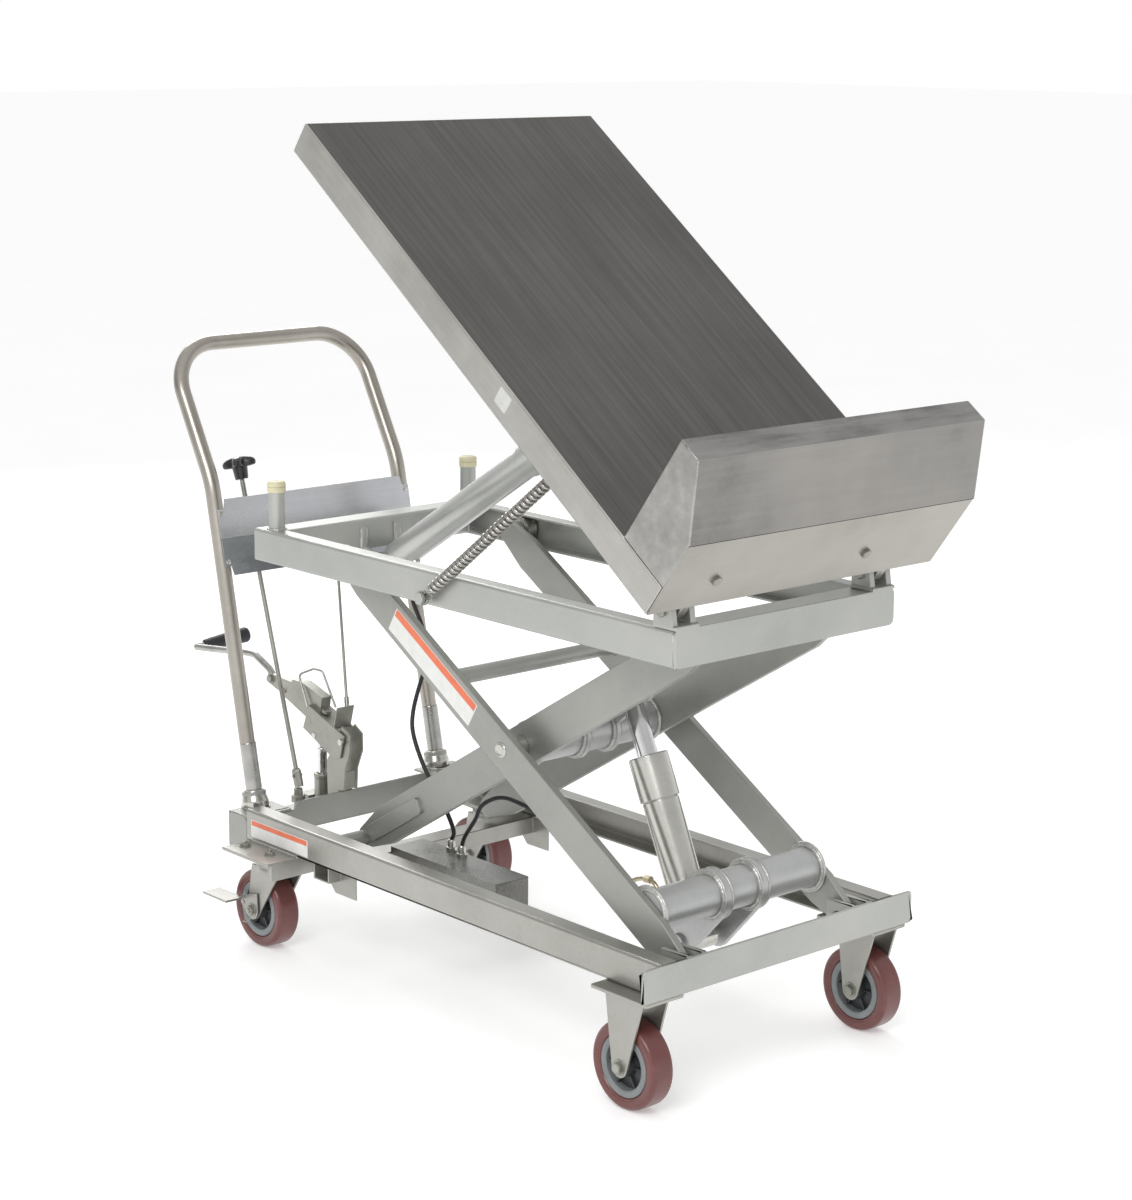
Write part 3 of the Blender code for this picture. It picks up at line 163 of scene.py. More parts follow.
def surface(name, stops, metallic, rough, mottle=12.0, grain=300, grain_share=0.3, bump=0.15,
        turn=0.0, coat=0.0):
    """A procedural finish: broad mottling mixed with a fine grain drives colour, roughness and bump.

    A grain with one small component runs in streaks that way; turn tips it about Y.
    """
    look = bpy.data.materials.new(name)
    look.use_nodes = True
    tree = look.node_tree
    shader = tree.nodes["Principled BSDF"]
    shader.inputs["Metallic"].default_value = metallic
    shader.inputs["Coat Weight"].default_value = coat
    shader.inputs["Coat Roughness"].default_value = 0.12
    place = add_node(tree, "TexCoord")
    broad = add_node(tree, "TexNoise", [("Vector", place, "Object")], Scale=mottle, Detail=6.0,
        Roughness=0.62)
    tip = add_node(tree, "Mapping", [("Vector", place, "Object")], Rotation=(0, turn, 0))
    streaks = grain if isinstance(grain, tuple) else (grain, grain, grain)
    stretch = add_node(tree, "Mapping", [("Vector", tip, "Vector")], Scale=streaks)
    fine = add_node(tree, "TexNoise", [("Vector", stretch, "Vector")], Scale=1.0, Detail=4.0,
        Roughness=0.55)
    mix = add_node(tree, "Mix", [("A", broad, "Fac"), ("B", fine, "Fac")], Factor=grain_share)
    ramp = add_node(tree, "ValToRGB", [("Fac", mix, "Result")])
    set_ramp(ramp, [(0.32 + 0.36 * index / (len(stops) - 1), colour) for index, colour in enumerate(stops)])
    spread = add_node(tree, "MapRange", [("Value", mix, "Result")], From_Min=0.3, From_Max=0.7,
        To_Min=rough[0], To_Max=rough[1])
    relief = add_node(tree, "Bump", [("Height", fine, "Fac")], Strength=bump, Distance=BUMP_DEPTH)
    feed(tree, shader, [("Base Color", ramp, "Color"), ("Roughness", spread, "Result"),
        ("Normal", relief, "Normal")])
    return look


GALVANISED = surface("galvanised_steel", [(0.355, 0.365, 0.345), (0.43, 0.44, 0.415),
    (0.49, 0.495, 0.465)], 0.6, (0.34, 0.52), 5.0, 420, 0.24, 0.22)
LEG_STEEL = surface("galvanised_bar", [(0.285, 0.29, 0.27), (0.35, 0.355, 0.33),
    (0.405, 0.41, 0.38)], 0.62, (0.34, 0.5), 4.0, 380, 0.22, 0.2)
RAIL_STEEL = surface("galvanised_channel", [(0.3, 0.295, 0.27), (0.385, 0.38, 0.35),
    (0.455, 0.45, 0.42)], 0.75, (0.26, 0.4), 4.5, 300, 0.2, 0.12)
MILL_STEEL = surface("oiled_sheet", [(0.15, 0.15, 0.142), (0.215, 0.215, 0.203),
    (0.28, 0.28, 0.263)], 0.8, (0.22, 0.36), 9.0, 300, 0.2, 0.1)
ZINC = surface("zinc_plated_bracket", [(0.24, 0.24, 0.215), (0.33, 0.33, 0.295),
    (0.41, 0.4, 0.36)], 0.75, (0.26, 0.42), 14.0, 300, 0.2, 0.12)
WELD = surface("weld_metal", [(0.34, 0.34, 0.325), (0.5, 0.5, 0.48), (0.62, 0.62, 0.6)], 0.75,
    (0.28, 0.42), 110.0, 500, 0.3, 0.25)
MACHINED = surface("machined_steel", [(0.5, 0.495, 0.455), (0.57, 0.565, 0.525),
    (0.63, 0.625, 0.585)], 0.95, (0.18, 0.27), 9.0, 300, 0.2, 0.03)
PAINTED_BARREL = surface("satin_barrel", [(0.46, 0.47, 0.45), (0.54, 0.55, 0.53),
    (0.6, 0.6, 0.57)], 0.75, (0.3, 0.42), 10.0, 600, 0.3, 0.1)
# the table pan's top face is the same stainless sheet as its apron, given a much darker copy as painted
# shade; the brushed grain along its length is the sheet's own
TOP_SHEET_PAINTED_SHADE = surface("brushed_top_painted_shade", [(0.096, 0.092, 0.087), (0.136, 0.131, 0.124),
    (0.185, 0.179, 0.17)], 0.9, (0.36, 0.5), 2.2, (3, 130, 130), 0.5, 0.12, turn=-TABLE_ANGLE)
APRON = surface("ground_apron", [(0.36, 0.35, 0.325), (0.45, 0.44, 0.41),
    (0.53, 0.52, 0.49)], 0.85, (0.28, 0.42), 7.0, (10, 190, 190), 0.22, 0.03, turn=-TABLE_ANGLE)
# the toe box is one folded sheet whose faces get colours by the way they point: the crest's near-black
# patches are a painted dark reflection, the slanted upper face is darker as painted shade, and the front
# face and skirt keep the lighter skirt tone; the end plates' warm blotches are the sheet's own
LIP_CREST_PAINTED_REFLECTION = surface("burnished_crest_painted_reflection", [(0.1, 0.1, 0.105), (0.3, 0.295, 0.285),
    (0.4, 0.39, 0.38)], 0.95, (0.14, 0.28), 4.2, (60, 7, 60), 0.45, 0.05)
LIP_FACE_PAINTED_SHADE = surface("ground_lip_face_painted_shade", [(0.175, 0.17, 0.165), (0.29, 0.28, 0.265),
    (0.35, 0.335, 0.315)], 0.9, (0.24, 0.36), 3.0, (120, 6, 120), 0.14, 0.02)
LIP_SKIRT = surface("ground_lip_skirt", [(0.31, 0.295, 0.265), (0.375, 0.36, 0.325),
    (0.43, 0.415, 0.38)], 0.85, (0.26, 0.38), 5.0, (120, 6, 120), 0.14, 0.02)
LIP_END = surface("ground_lip_end", [(0.27, 0.265, 0.25), (0.36, 0.355, 0.335),
    (0.5, 0.5, 0.48)], 0.8, (0.26, 0.42), 14.0, 70, 0.3, 0.05)
HANDLE_METAL = surface("handle_tube_metal", [(0.355, 0.33, 0.295), (0.41, 0.385, 0.345),
    (0.46, 0.435, 0.39)], 0.92, (0.27, 0.36), 9.0, 160, 0.15, 0.02)
PANEL_METAL = surface("panel_sheet", [(0.46, 0.47, 0.49), (0.54, 0.55, 0.57),
    (0.62, 0.62, 0.64)], 0.92, (0.2, 0.32), 5.0, (120, 6, 120), 0.25, 0.03)
# the lower half of the handle panel: the same sheet as PANEL_METAL, darker as painted shade for the half
# below the fold, which faces down; the fold is not bent in the geometry
PANEL_PAINTED_SHADE = surface("panel_sheet_painted_shade", [(0.22, 0.235, 0.26), (0.31, 0.325, 0.35),
    (0.39, 0.405, 0.43)], 0.92, (0.2, 0.32), 7.0, (120, 6, 120), 0.25, 0.03)
BAR_METAL = surface("bent_bar", [(0.33, 0.325, 0.31), (0.42, 0.415, 0.395), (0.5, 0.495, 0.475)],
    0.92, (0.24, 0.34), 30.0, 500, 0.25, 0.05)
CHROME = surface("hard_chrome", [(0.66, 0.66, 0.67), (0.72, 0.72, 0.73), (0.78, 0.78, 0.78)], 1.0,
    (0.05, 0.12), 30.0, (900, 900, 60), 0.3, 0.04)
SPRING_WIRE = surface("spring_wire", [(0.34, 0.33, 0.305), (0.4, 0.39, 0.365),
    (0.46, 0.45, 0.425)], 0.92, (0.26, 0.32), 20.0, 200, 0.2, 0.02)
BRASS = surface("plated_pipe", [(0.42, 0.36, 0.24), (0.52, 0.46, 0.32), (0.6, 0.54, 0.4)], 0.95,
    (0.2, 0.32), 50.0, 700, 0.3, 0.1)
TYRE = surface("maroon_polyurethane", [(0.105, 0.03, 0.028), (0.135, 0.04, 0.036),
    (0.165, 0.055, 0.05)], 0.0, (0.26, 0.4), 24.0, 600, 0.3, 0.15, coat=0.25)
HUB = surface("grey_hub", [(0.17, 0.185, 0.19), (0.21, 0.225, 0.23), (0.25, 0.265, 0.27)], 0.1,
    (0.34, 0.5), 30.0, 700, 0.35, 0.2)
HUB_DARK = surface("dark_hub_core", [(0.022, 0.024, 0.026), (0.034, 0.036, 0.038),
    (0.05, 0.052, 0.054)], 0.0, (0.36, 0.52), 40.0, 700, 0.3, 0.2)
BLACK = surface("black_plastic", [(0.008, 0.008, 0.01), (0.013, 0.013, 0.016),
    (0.022, 0.022, 0.026)], 0.0, (0.2, 0.34), 40.0, 800, 0.3, 0.12, coat=0.3)
GRIP = surface("grip_rubber", [(0.01, 0.011, 0.014), (0.018, 0.019, 0.023),
    (0.03, 0.031, 0.036)], 0.0, (0.42, 0.58), 50.0, 600, 0.4, 0.35)
HOSE = surface("hose_rubber", [(0.008, 0.008, 0.008), (0.012, 0.012, 0.012), (0.02, 0.02, 0.02)],
    0.0, (0.34, 0.5), 60.0, 900, 0.4, 0.25)
CREAM = surface("cream_nylon", [(0.56, 0.53, 0.34), (0.64, 0.6, 0.4), (0.69, 0.66, 0.47)], 0.0,
    (0.4, 0.55), 60.0, 700, 0.3, 0.15)
TUBE_STEEL = surface("galvanised_tube", [(0.41, 0.42, 0.415), (0.5, 0.51, 0.505),
    (0.57, 0.575, 0.565)], 0.65, (0.32, 0.46), 6.0, 300, 0.22, 0.15)
# near-black, for the thin line along the lip's fold: a painted shadow where the upper panel overlaps the
# skirt
SEAM_PAINTED_SHADOW = surface("painted_seam_shadow", [(0.03, 0.028, 0.026), (0.04, 0.038, 0.035), (0.05, 0.047, 0.044)], 0.3,
    (0.45, 0.55), 30.0, 200, 0.2, 0.02)
LABEL = surface("label_white", [(0.66, 0.66, 0.64), (0.72, 0.72, 0.7), (0.78, 0.78, 0.76)], 0.0,
    (0.3, 0.42), 40.0, 500, 0.3, 0.05)
LABEL_BAND = surface("label_orange", [(0.66, 0.13, 0.055), (0.74, 0.17, 0.075), (0.8, 0.21, 0.1)],
    0.0, (0.3, 0.42), 40.0, 500, 0.3, 0.05)
BADGE = surface("badge_foil", [(0.5, 0.5, 0.48), (0.6, 0.6, 0.58), (0.68, 0.68, 0.66)], 0.4,
    (0.24, 0.36), 50.0, 600, 0.3, 0.05)

# ---------------------------------------------------------------- shapes: each returns a mesh
def clean(mesh):
    cage = bmesh.new()
    cage.from_mesh(mesh)
    bmesh.ops.remove_doubles(cage, verts=cage.verts, dist=MERGE_DISTANCE)
    bmesh.ops.recalc_face_normals(cage, faces=cage.faces)
    cage.to_mesh(mesh)
    cage.free()
    return mesh


def evaluated(source):
    """The plain mesh of an object that is only there to be converted."""
    bpy.context.scene.collection.objects.link(source)
    graph = bpy.context.evaluated_depsgraph_get()
    mesh = bpy.data.meshes.new_from_object(source.evaluated_get(graph), depsgraph=graph)
    bpy.data.objects.remove(source, do_unlink=True)
    return mesh


def frame_along(start, end):
    """The placement whose local Z runs from start to end, keeping local X near the X-Z plane."""
    axis = (Vector(end) - Vector(start)).normalized()
    across = ACROSS if abs(axis.y) < 0.9 else Vector((1, 0, 0))
    side = across.cross(axis).normalized()
    turn = Matrix((side, axis.cross(side), axis)).transposed().to_4x4()
    return Matrix.Translation(start) @ turn


PLANE_TURN = {"XZ": Matrix(((1, 0, 0, 0), (0, 0, -1, 0), (0, 1, 0, 0), (0, 0, 0, 1))),
    "YZ": Matrix(((0, 0, 1, 0), (1, 0, 0, 0), (0, 1, 0, 0), (0, 0, 0, 1))), "XY": IDENTITY}
PLANE_NORMAL = {"XZ": ACROSS, "YZ": Vector((1, 0, 0)), "XY": UP}


def winding(loop):
    return sum(a[0] * b[1] - b[0] * a[1] for a, b in zip(loop, loop[1:] + loop[:1]))


def plate(outline, plane, faces, holes=(), edge=0.0008):
    """A flat outline thickened between its two face positions, with eased edges."""
    curve = bpy.data.curves.new("plate", "CURVE")
    curve.dimensions = "2D"
    curve.fill_mode = "BOTH"
    curve.extrude = abs(faces[1] - faces[0]) / 2 - edge
    curve.bevel_depth = edge
    curve.bevel_resolution = 1
    curve.offset = -edge
    for loop, direction in ((outline, 1), *((hole, -1) for hole in holes)):
        loop = list(loop)
        if winding(loop) * direction < 0:
            loop.reverse()
        spline = curve.splines.new("POLY")
        spline.points.add(len(loop) - 1)
        spline.use_cyclic_u = True
        for point, (across, up) in zip(spline.points, loop):
            point.co = (across, up, 0, 1)
    mesh = evaluated(bpy.data.objects.new("plate", curve))
    middle = PLANE_NORMAL[plane] * (faces[0] + faces[1]) / 2
    mesh.transform(Matrix.Translation(middle) @ PLANE_TURN[plane])
    return clean(mesh)


def circle(centre, radius, sides=40):
    return [(centre[0] + radius * cos(2 * pi * step / sides),
        centre[1] + radius * sin(2 * pi * step / sides)) for step in range(sides)]


def flat(point):
    return (point.x, point.z)


def hull(points):
    """The convex outline round a set of 2-D points, anticlockwise."""
    ordered = sorted(set((round(a, 7), round(b, 7)) for a, b in points))

    def turns_right(a, b, c):
        return (b[0] - a[0]) * (c[1] - a[1]) - (b[1] - a[1]) * (c[0] - a[0]) <= 0

    def chain(run):
        kept = []
        for point in run:
            while len(kept) > 1 and turns_right(kept[-2], kept[-1], point):
                kept.pop()
            kept.append(point)
        return kept[:-1]

    return chain(ordered) + chain(ordered[::-1])


def rectangle(across, up, radius=0.0):
    """A rectangle, with round corners where a radius is given."""
    corners = [(max(across), max(up), 0), (min(across), max(up), 1), (min(across), min(up), 2),
        (max(across), min(up), 3)]
    if not radius:
        return [(a, b) for a, b, _ in corners]
    steps = 6
    loop = []
    for a, b, quarter in corners:
        centre_a = a - radius * (1 if quarter in (0, 3) else -1)
        centre_b = b - radius * (1 if quarter in (0, 1) else -1)
        for step in range(steps + 1):
            angle = (quarter + step / steps) * pi / 2
            loop.append((centre_a + radius * cos(angle), centre_b + radius * sin(angle)))
    return loop


def eased(profile, size):
    """A profile with each inner corner cut by a small arc."""
    points = [Vector((a, b, 0)) for a, b in profile]
    loop = [points[0]]
    for before, corner, after in zip(points, points[1:], points[2:]):
        reach = min(size, (before - corner).length * 0.45, (after - corner).length * 0.45)
        start = corner + (before - corner).normalized() * reach
        end = corner + (after - corner).normalized() * reach
        loop += [start, corner * 0.5 + (start + end) * 0.25, end]
    loop.append(points[-1])
    return [(point.x, point.y) for point in loop]


def turned(profile, start, end, steps=48, ease=0.0005, closed=False):
    """A profile of (radius, distance) points spun round the line from start to end."""
    if closed:
        middle = ((profile[0][0] + profile[-1][0]) / 2, (profile[0][1] + profile[-1][1]) / 2)
        profile = [middle, *profile, middle]
    profile = eased(profile, ease)
    if closed:
        profile = profile[:-1]
    vertices = []
    for step in range(steps):
        angle = 2 * pi * step / steps
        vertices += [(radius * cos(angle), radius * sin(angle), distance) for radius, distance in profile]
    count = len(profile)
    runs = range(count if closed else count - 1)
    faces = []
    for step in range(steps):
        here, there = step * count, (step + 1) % steps * count
        for index in runs:
            following = (index + 1) % count
            faces.append((here + index, there + index, there + following, here + following))
    mesh = bpy.data.meshes.new("turned")
    mesh.from_pydata(vertices, [], faces)
    mesh.transform(frame_along(start, end))
    return clean(mesh)


def upright(profile, foot, steps, ease, closed=False):
    return turned(profile, foot, foot + UP, steps, ease, closed)


def rod(start, end, radius, steps=32, ease=0.0006):
    length = (Vector(end) - Vector(start)).length
    return turned([(0, 0), (radius, 0), (radius, length), (0, length)], start, end, steps, ease)


def sleeve_across(centre, half, bore, radius, steps, ease):
    """A tube along Y, centred on the middle plane."""
    profile = [(bore, 0), (radius, 0), (radius, 2 * half), (bore, 2 * half)]
    return turned(profile, at_y(centre, -half), at_y(centre, 1), steps, ease, closed=True)


def cross_pin(centre, y, radius, steps=32, ease=0.0006):
    return rod((centre.x, min(y), centre.z), (centre.x, max(y), centre.z), radius, steps, ease)


def hexagon(start, end, radius):
    """A nut or a bolt's head, with its corners chamfered at the outer end."""
    chamfer = 0.0008
    length = (Vector(end) - Vector(start)).length
    return turned([(0, 0), (radius, 0), (radius, length - chamfer), (radius - chamfer * 1.6, length),
        (0, length)], start, end, 6, 0.0002)


def bolt(point, direction, size, washer=True, stub=0.0, washer_share=1.28):
    """A hex head on its washer, standing on a face; a stub shows the thread past a nut."""
    direction = Vector(direction).normalized()
    point = Vector(point)
    base = point + direction * (0.0012 if washer else 0)
    shapes = [hexagon(base, base + direction * size * 0.62, size)]
    if washer:
        shapes.append(rod(point - direction * 0.0004, base, size * washer_share, 32, 0.0003))
    if stub:
        shapes.append(rod(base, base + direction * (size * 0.62 + stub), size * 0.5, 20, 0.0005))
    return shapes


def wire(path, radius, roundness=4, radii=None, cyclic=False):
    """A round bar, tube or wire that follows a path."""
    curve = bpy.data.curves.new("wire", "CURVE")
    curve.dimensions = "3D"
    curve.bevel_depth = radius
    curve.bevel_resolution = roundness
    curve.use_fill_caps = True
    spline = curve.splines.new("POLY")
    spline.points.add(len(path) - 1)
    spline.use_cyclic_u = cyclic
    for index, (point, place) in enumerate(zip(spline.points, path)):
        point.co = (*place, 1)
        point.radius = radii[index] if radii else 1.0
    return clean(evaluated(bpy.data.objects.new("wire", curve)))


def rounded_path(points, radii, steps=12):
    """A polyline whose inner corners are arcs of the given radii."""
    path = [Vector(points[0])]
    for before, corner, after, radius in zip(points, points[1:], points[2:], radii):
        corner = Vector(corner)
        into = (Vector(before) - corner).normalized()
        out = (Vector(after) - corner).normalized()
        half = into.angle(out) / 2
        setback = radius / (sin(half) / cos(half))
        centre = corner + (into + out).normalized() * radius / sin(half)
        start = corner + into * setback - centre
        end = corner + out * setback - centre
        sweep = start.angle(end)
        for step in range(steps + 1):
            part = step / steps
            path.append(centre + start * sin((1 - part) * sweep) / sin(sweep)
                + end * sin(part * sweep) / sin(sweep))
    path.append(Vector(points[-1]))
    return path


def smooth_path(points, count):
    """Points spread evenly along a smooth curve through the given points."""
    points = [Vector(point) for point in points]
    ends = [2 * points[0] - points[1], *points, 2 * points[-1] - points[-2]]
    fine = []
    for a, b, c, d in zip(ends, ends[1:], ends[2:], ends[3:]):
        for step in range(16):
            t = step / 16
            fine.append(0.5 * (2 * b + (c - a) * t + (2 * a - 5 * b + 4 * c - d) * t * t
                + (3 * b - a - 3 * c + d) * t ** 3))
    fine.append(points[-1])
    lengths = [0.0]
    for a, b in zip(fine, fine[1:]):
        lengths.append(lengths[-1] + (b - a).length)
    path = []
    index = 0
    for step in range(count):
        wanted = lengths[-1] * step / (count - 1)
        while index < len(fine) - 2 and lengths[index + 1] < wanted:
            index += 1
        part = (wanted - lengths[index]) / (lengths[index + 1] - lengths[index])
        path.append(fine[index].lerp(fine[index + 1], min(part, 1.0)))
    return path


def bead(path, radius, seed):
    """A weld run: a lumpy bead with a ripple for each dab of metal. A path that meets itself is closed."""
    cyclic = (Vector(path[0]) - Vector(path[-1])).length < radius
    dice = Random(seed)
    length = sum((Vector(b) - Vector(a)).length for a, b in zip(path, path[1:]))
    run = smooth_path(path, max(6, int(length / (radius * 0.42))))
    if cyclic:
        run = run[:-1]
    radii = [1.0 + 0.07 * sin(2.1 * index) + dice.uniform(-0.07, 0.07) for index in range(len(run))]
    return wire(run, radius, 2, radii, cyclic)


def ring(centre, radius, y):
    """A closed ring round a tube that lies along Y."""
    loop = circle(flat(centre), radius, 36)
    return [Vector((x, y, z)) for x, z in loop + loop[:1]]


def level_ring(centre, radius):
    loop = circle(centre, radius, 30)
    return [Vector((x, y, centre.z)) for x, y in loop + loop[:1]]


HARD_EDGE = radians(40)
FLAT_ANGLE = radians(0.8)
CAD_MERGE_DISTANCE = 2e-5
BEND_LENGTH = 0.07
BEND_BREADTH = 0.011


def is_bend(edge):
    """Whether an edge is a long outer corner between two broad faces."""
    length = edge.calc_length()
    broad = all(face.calc_area() / length > BEND_BREADTH for face in edge.link_faces)
    return length > BEND_LENGTH and edge.is_convex and broad


def softened(node, width, segments=2, bend=0.0):
    """A CAD node's own shape with its hard edges rounded off.

    Long outer edges between two broad faces are sheet bends, and take the larger radius, bend.
    """
    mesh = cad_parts[node].data.copy()
    cage = bmesh.new()
    cage.from_mesh(mesh)
    bmesh.ops.remove_doubles(cage, verts=cage.verts, dist=CAD_MERGE_DISTANCE)
    bmesh.ops.dissolve_limit(cage, angle_limit=FLAT_ANGLE, verts=cage.verts, edges=cage.edges)
    bmesh.ops.recalc_face_normals(cage, faces=cage.faces)
    share = cage.edges.layers.float.new("bevel_weight_edge")
    widest = max(bend, width)
    for edge in cage.edges:
        if len(edge.link_faces) == 2 and edge.calc_face_angle() > HARD_EDGE:
            edge[share] = (bend if bend and is_bend(edge) else width) / widest
    bmesh.ops.triangulate(cage, faces=[face for face in cage.faces if len(face.verts) > 4])
    cage.to_mesh(mesh)
    cage.free()
    carrier = bpy.data.objects.new("softened", mesh)
    rounding = carrier.modifiers.new("rounding", "BEVEL")
    rounding.limit_method = "WEIGHT"
    rounding.width = widest
    rounding.segments = segments
    rounding.use_clamp_overlap = False
    rounding.loop_slide = False
    mesh = evaluated(carrier)
    mesh.transform(TO_ROW.inverted())
    return mesh


# ---------------------------------------------------------------- pieces
def merged(name, shapes, placement):
    cage = bmesh.new()
    for shape in shapes:
        shape.transform(TO_ROW @ placement)
        cage.from_mesh(shape)
    mesh = bpy.data.meshes.new(name)
    cage.to_mesh(mesh)
    cage.free()
    return mesh


def make(name, shapes, look, placement=IDENTITY, weighted=True):
    """One object in the row frame from several shapes, with smooth faces and steady normals."""
    mesh = merged(name, shapes, placement)
    mesh.materials.clear()
    mesh.materials.append(look)
    mesh.polygons.foreach_set("material_index", [0] * len(mesh.polygons))
    mesh.shade_smooth()
    mesh.set_sharp_from_angle(angle=SHARP_ANGLE)
    if weighted:
        carrier = bpy.data.objects.new(name, mesh)
        steady = carrier.modifiers.new("steady", "WEIGHTED_NORMAL")
        steady.keep_sharp = True
        steady.weight = 100
        mesh = evaluated(carrier)
        mesh.name = name
    made = bpy.data.objects.new(name, mesh)
    bpy.context.scene.collection.objects.link(made)
    return made


def piece(name, shapes, look, body, stands_for=(), placement=IDENTITY):
    made = make(name, shapes, look, placement)
    if stands_for:
        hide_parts(*stands_for)
    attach(made, body)
    return made


def side_pins(side, *pins):
    """Pins on one side, each given as (centre, y range, radius)."""
    return [cross_pin(centre, both(side, y), radius) for centre, y, radius in pins]


def stand_in(node, shapes, look, body, placement=IDENTITY):
    """A piece drawn in place of one CAD node."""
    piece(f"{node}_body", shapes, look, body, [node], placement)


def cad_piece(node, look, body, *rounding, name=None):
    """A piece in a CAD node's own shape, with its edges rounded."""
    piece(f"{name or node}_body", [softened(node, *rounding)], look, body, [node])


def on_table(name, shapes, look):
    piece(name, shapes, look, "table", placement=TABLE_FRAME)


def both(side, y):
    return (side * y[0], side * y[1])


def at_y(point, y):
    return Vector((point.x, y, point.z))


def side_bolt(point, y, way, size, **options):
    return bolt(at_y(point, y), (0, way, 0), size, **options)


def mirrored(point, side):
    return Vector((point.x, side * point.y, point.z))


# ---------------------------------------------------------------- base frame
def base_frame():
    for label, side in SIDES.items():
        cad_piece(f"lower_rail_{label}", RAIL_STEEL, "base", 0.0014, 3, 0.0048)
        bolts = []
        for x, y in ((-0.503, 0.262), (-0.4406, 0.258)):
            bolts += bolt((x, side * y, 0.1705), (0, 0, 1), 0.0078, stub=0.003)
        piece(f"caster_plate_bolts_{label}", bolts, ZINC, "base")
        seam_y = side * 0.2355
        front = bead([(0.4326, side * 0.23, 0.176), (0.4326, side * 0.2335, 0.214)], 0.0022, 3)
        rear = bead([(-0.521, seam_y, 0.1712), (-0.404, seam_y, 0.1712)], 0.0022, 5)
        piece(f"rail_welds_{label}", [front, rear], WELD, "base")
    cad_piece("front_cross_angle", GALVANISED, "base", 0.0014, 3, 0.0045, name="front_angle")
    cad_piece("rear_crossmember", LEG_STEEL, "base", 0.0012, 3, 0.004)
    cad_piece("mid_cross_tube", RAIL_STEEL, "base", 0.001, name="mid_tube")
    shell = plate([(-0.103, 0.132), (-0.103, 0.18), (-0.037, 0.18), (-0.037, 0.132)], "YZ",
        (-0.3295, -0.068), edge=0.0024)
    piece("valve_cover", [shell], MILL_STEEL, "base", ["valve_box"])
    for label, side in SIDES.items():
        foot = mirrored(HANDLE_FOOT, side)
        rake = (HANDLE_BEND - HANDLE_FOOT).normalized()
        collar_foot = Vector((foot.x - 0.0005, foot.y, 0.2062))
        collar = [(0.0133, 0), (0.0222, 0), (0.0226, 0.01), (0.0205, 0.018), (0.017, 0.0285),
            (0.0133, 0.0285)]
        weld = bead(level_ring(collar_foot + Vector((0, 0, 0.0008)), 0.0222), 0.0018, 11 + side)
        shapes = [turned(collar, collar_foot, collar_foot + rake, 40, 0.0016, closed=True), weld]
        piece(f"handle_collar_{label}", shapes, MACHINED, "base")


def handle():
    start = HANDLE_FOOT + Vector((0, 0, -0.0095))
    loop = []
    for side in (-1, 1):
        run = [mirrored(point, side) for point in (start, HANDLE_BEND, HANDLE_TOP)]
        loop.extend(run if side < 0 else run[::-1])
    tube = wire(rounded_path(loop, (0.16, 0.085, 0.085, 0.16), 18), HANDLE_RADIUS, 8)
    stand_in("handle_tube", [tube], HANDLE_METAL, "base")

    for label, side in SIDES.items():
        foot = mirrored(HANDLE_FOOT, side)
        rake = (mirrored(HANDLE_BEND, side) - foot).normalized()
        sleeve = [(0.0122, 0.02), (0.0131, 0.02), (0.0131, 0.094), (0.0127, 0.0955), (0.0122, 0.0955)]
        piece(f"handle_sleeve_{label}", [turned(sleeve, foot, foot + rake, 48, 0.0004, closed=True)],
            BAR_METAL, "base")
    panel_low, panel_high = 0.58, 0.705
    middle = (panel_low + panel_high) / 2
    rake = (HANDLE_BEND.x - HANDLE_FOOT.x) / (HANDLE_BEND.z - HANDLE_FOOT.z)
    lean = atan2(rake * (panel_high - panel_low), panel_high - panel_low)
    clear = HANDLE_RADIUS / cos(lean) + 0.0016
    leg_x = HANDLE_FOOT.x + rake * (middle - HANDLE_FOOT.z)
    panel_frame = turned_frame((leg_x + clear, 0, middle), lean)
    sheet = (-0.001, 0.0008)
    ear, half = 0.016, (panel_high - panel_low) / 2
    upper = [(-0.196, 0), (-0.196, half - ear), (-0.184, half - ear), (-0.18, half)]
    upper += [(-across, rise) for across, rise in upper[::-1]]
    lower = [(across, -rise) for across, rise in upper]
    stand_in("handle_panel", [plate(upper, "YZ", sheet, edge=0.0005)], PANEL_METAL, "base",
        placement=panel_frame)
    # the lower half is drawn flat in the same plane as the upper, with a darker copy of the sheet as painted
    # shade for its downward-facing fold
    piece("handle_panel_lower", [plate(lower, "YZ", sheet, edge=0.0005)], PANEL_PAINTED_SHADE, "base",
        placement=panel_frame)
    screws = []
    for side in (-1, 1):
        for up in (-0.0395, 0.0395):
            place = Vector((0.0009, side * 0.1895, up))
            screws.append(turned([(0, 0), (0.0046, 0), (0.0042, 0.0012), (0.0018, 0.0019), (0.0016, 0.0008),
                (0, 0.0008)], place, place + Vector((1, 0, 0)), 24, 0.0002))
    crease = [rod((0.0006, -0.195, 0), (0.0006, 0.195, 0), 0.0008, 12, 0.0002)]
    piece("panel_screws", screws, MACHINED, "base", placement=panel_frame)
    piece("panel_crease", crease, PANEL_METAL, "base", placement=panel_frame)


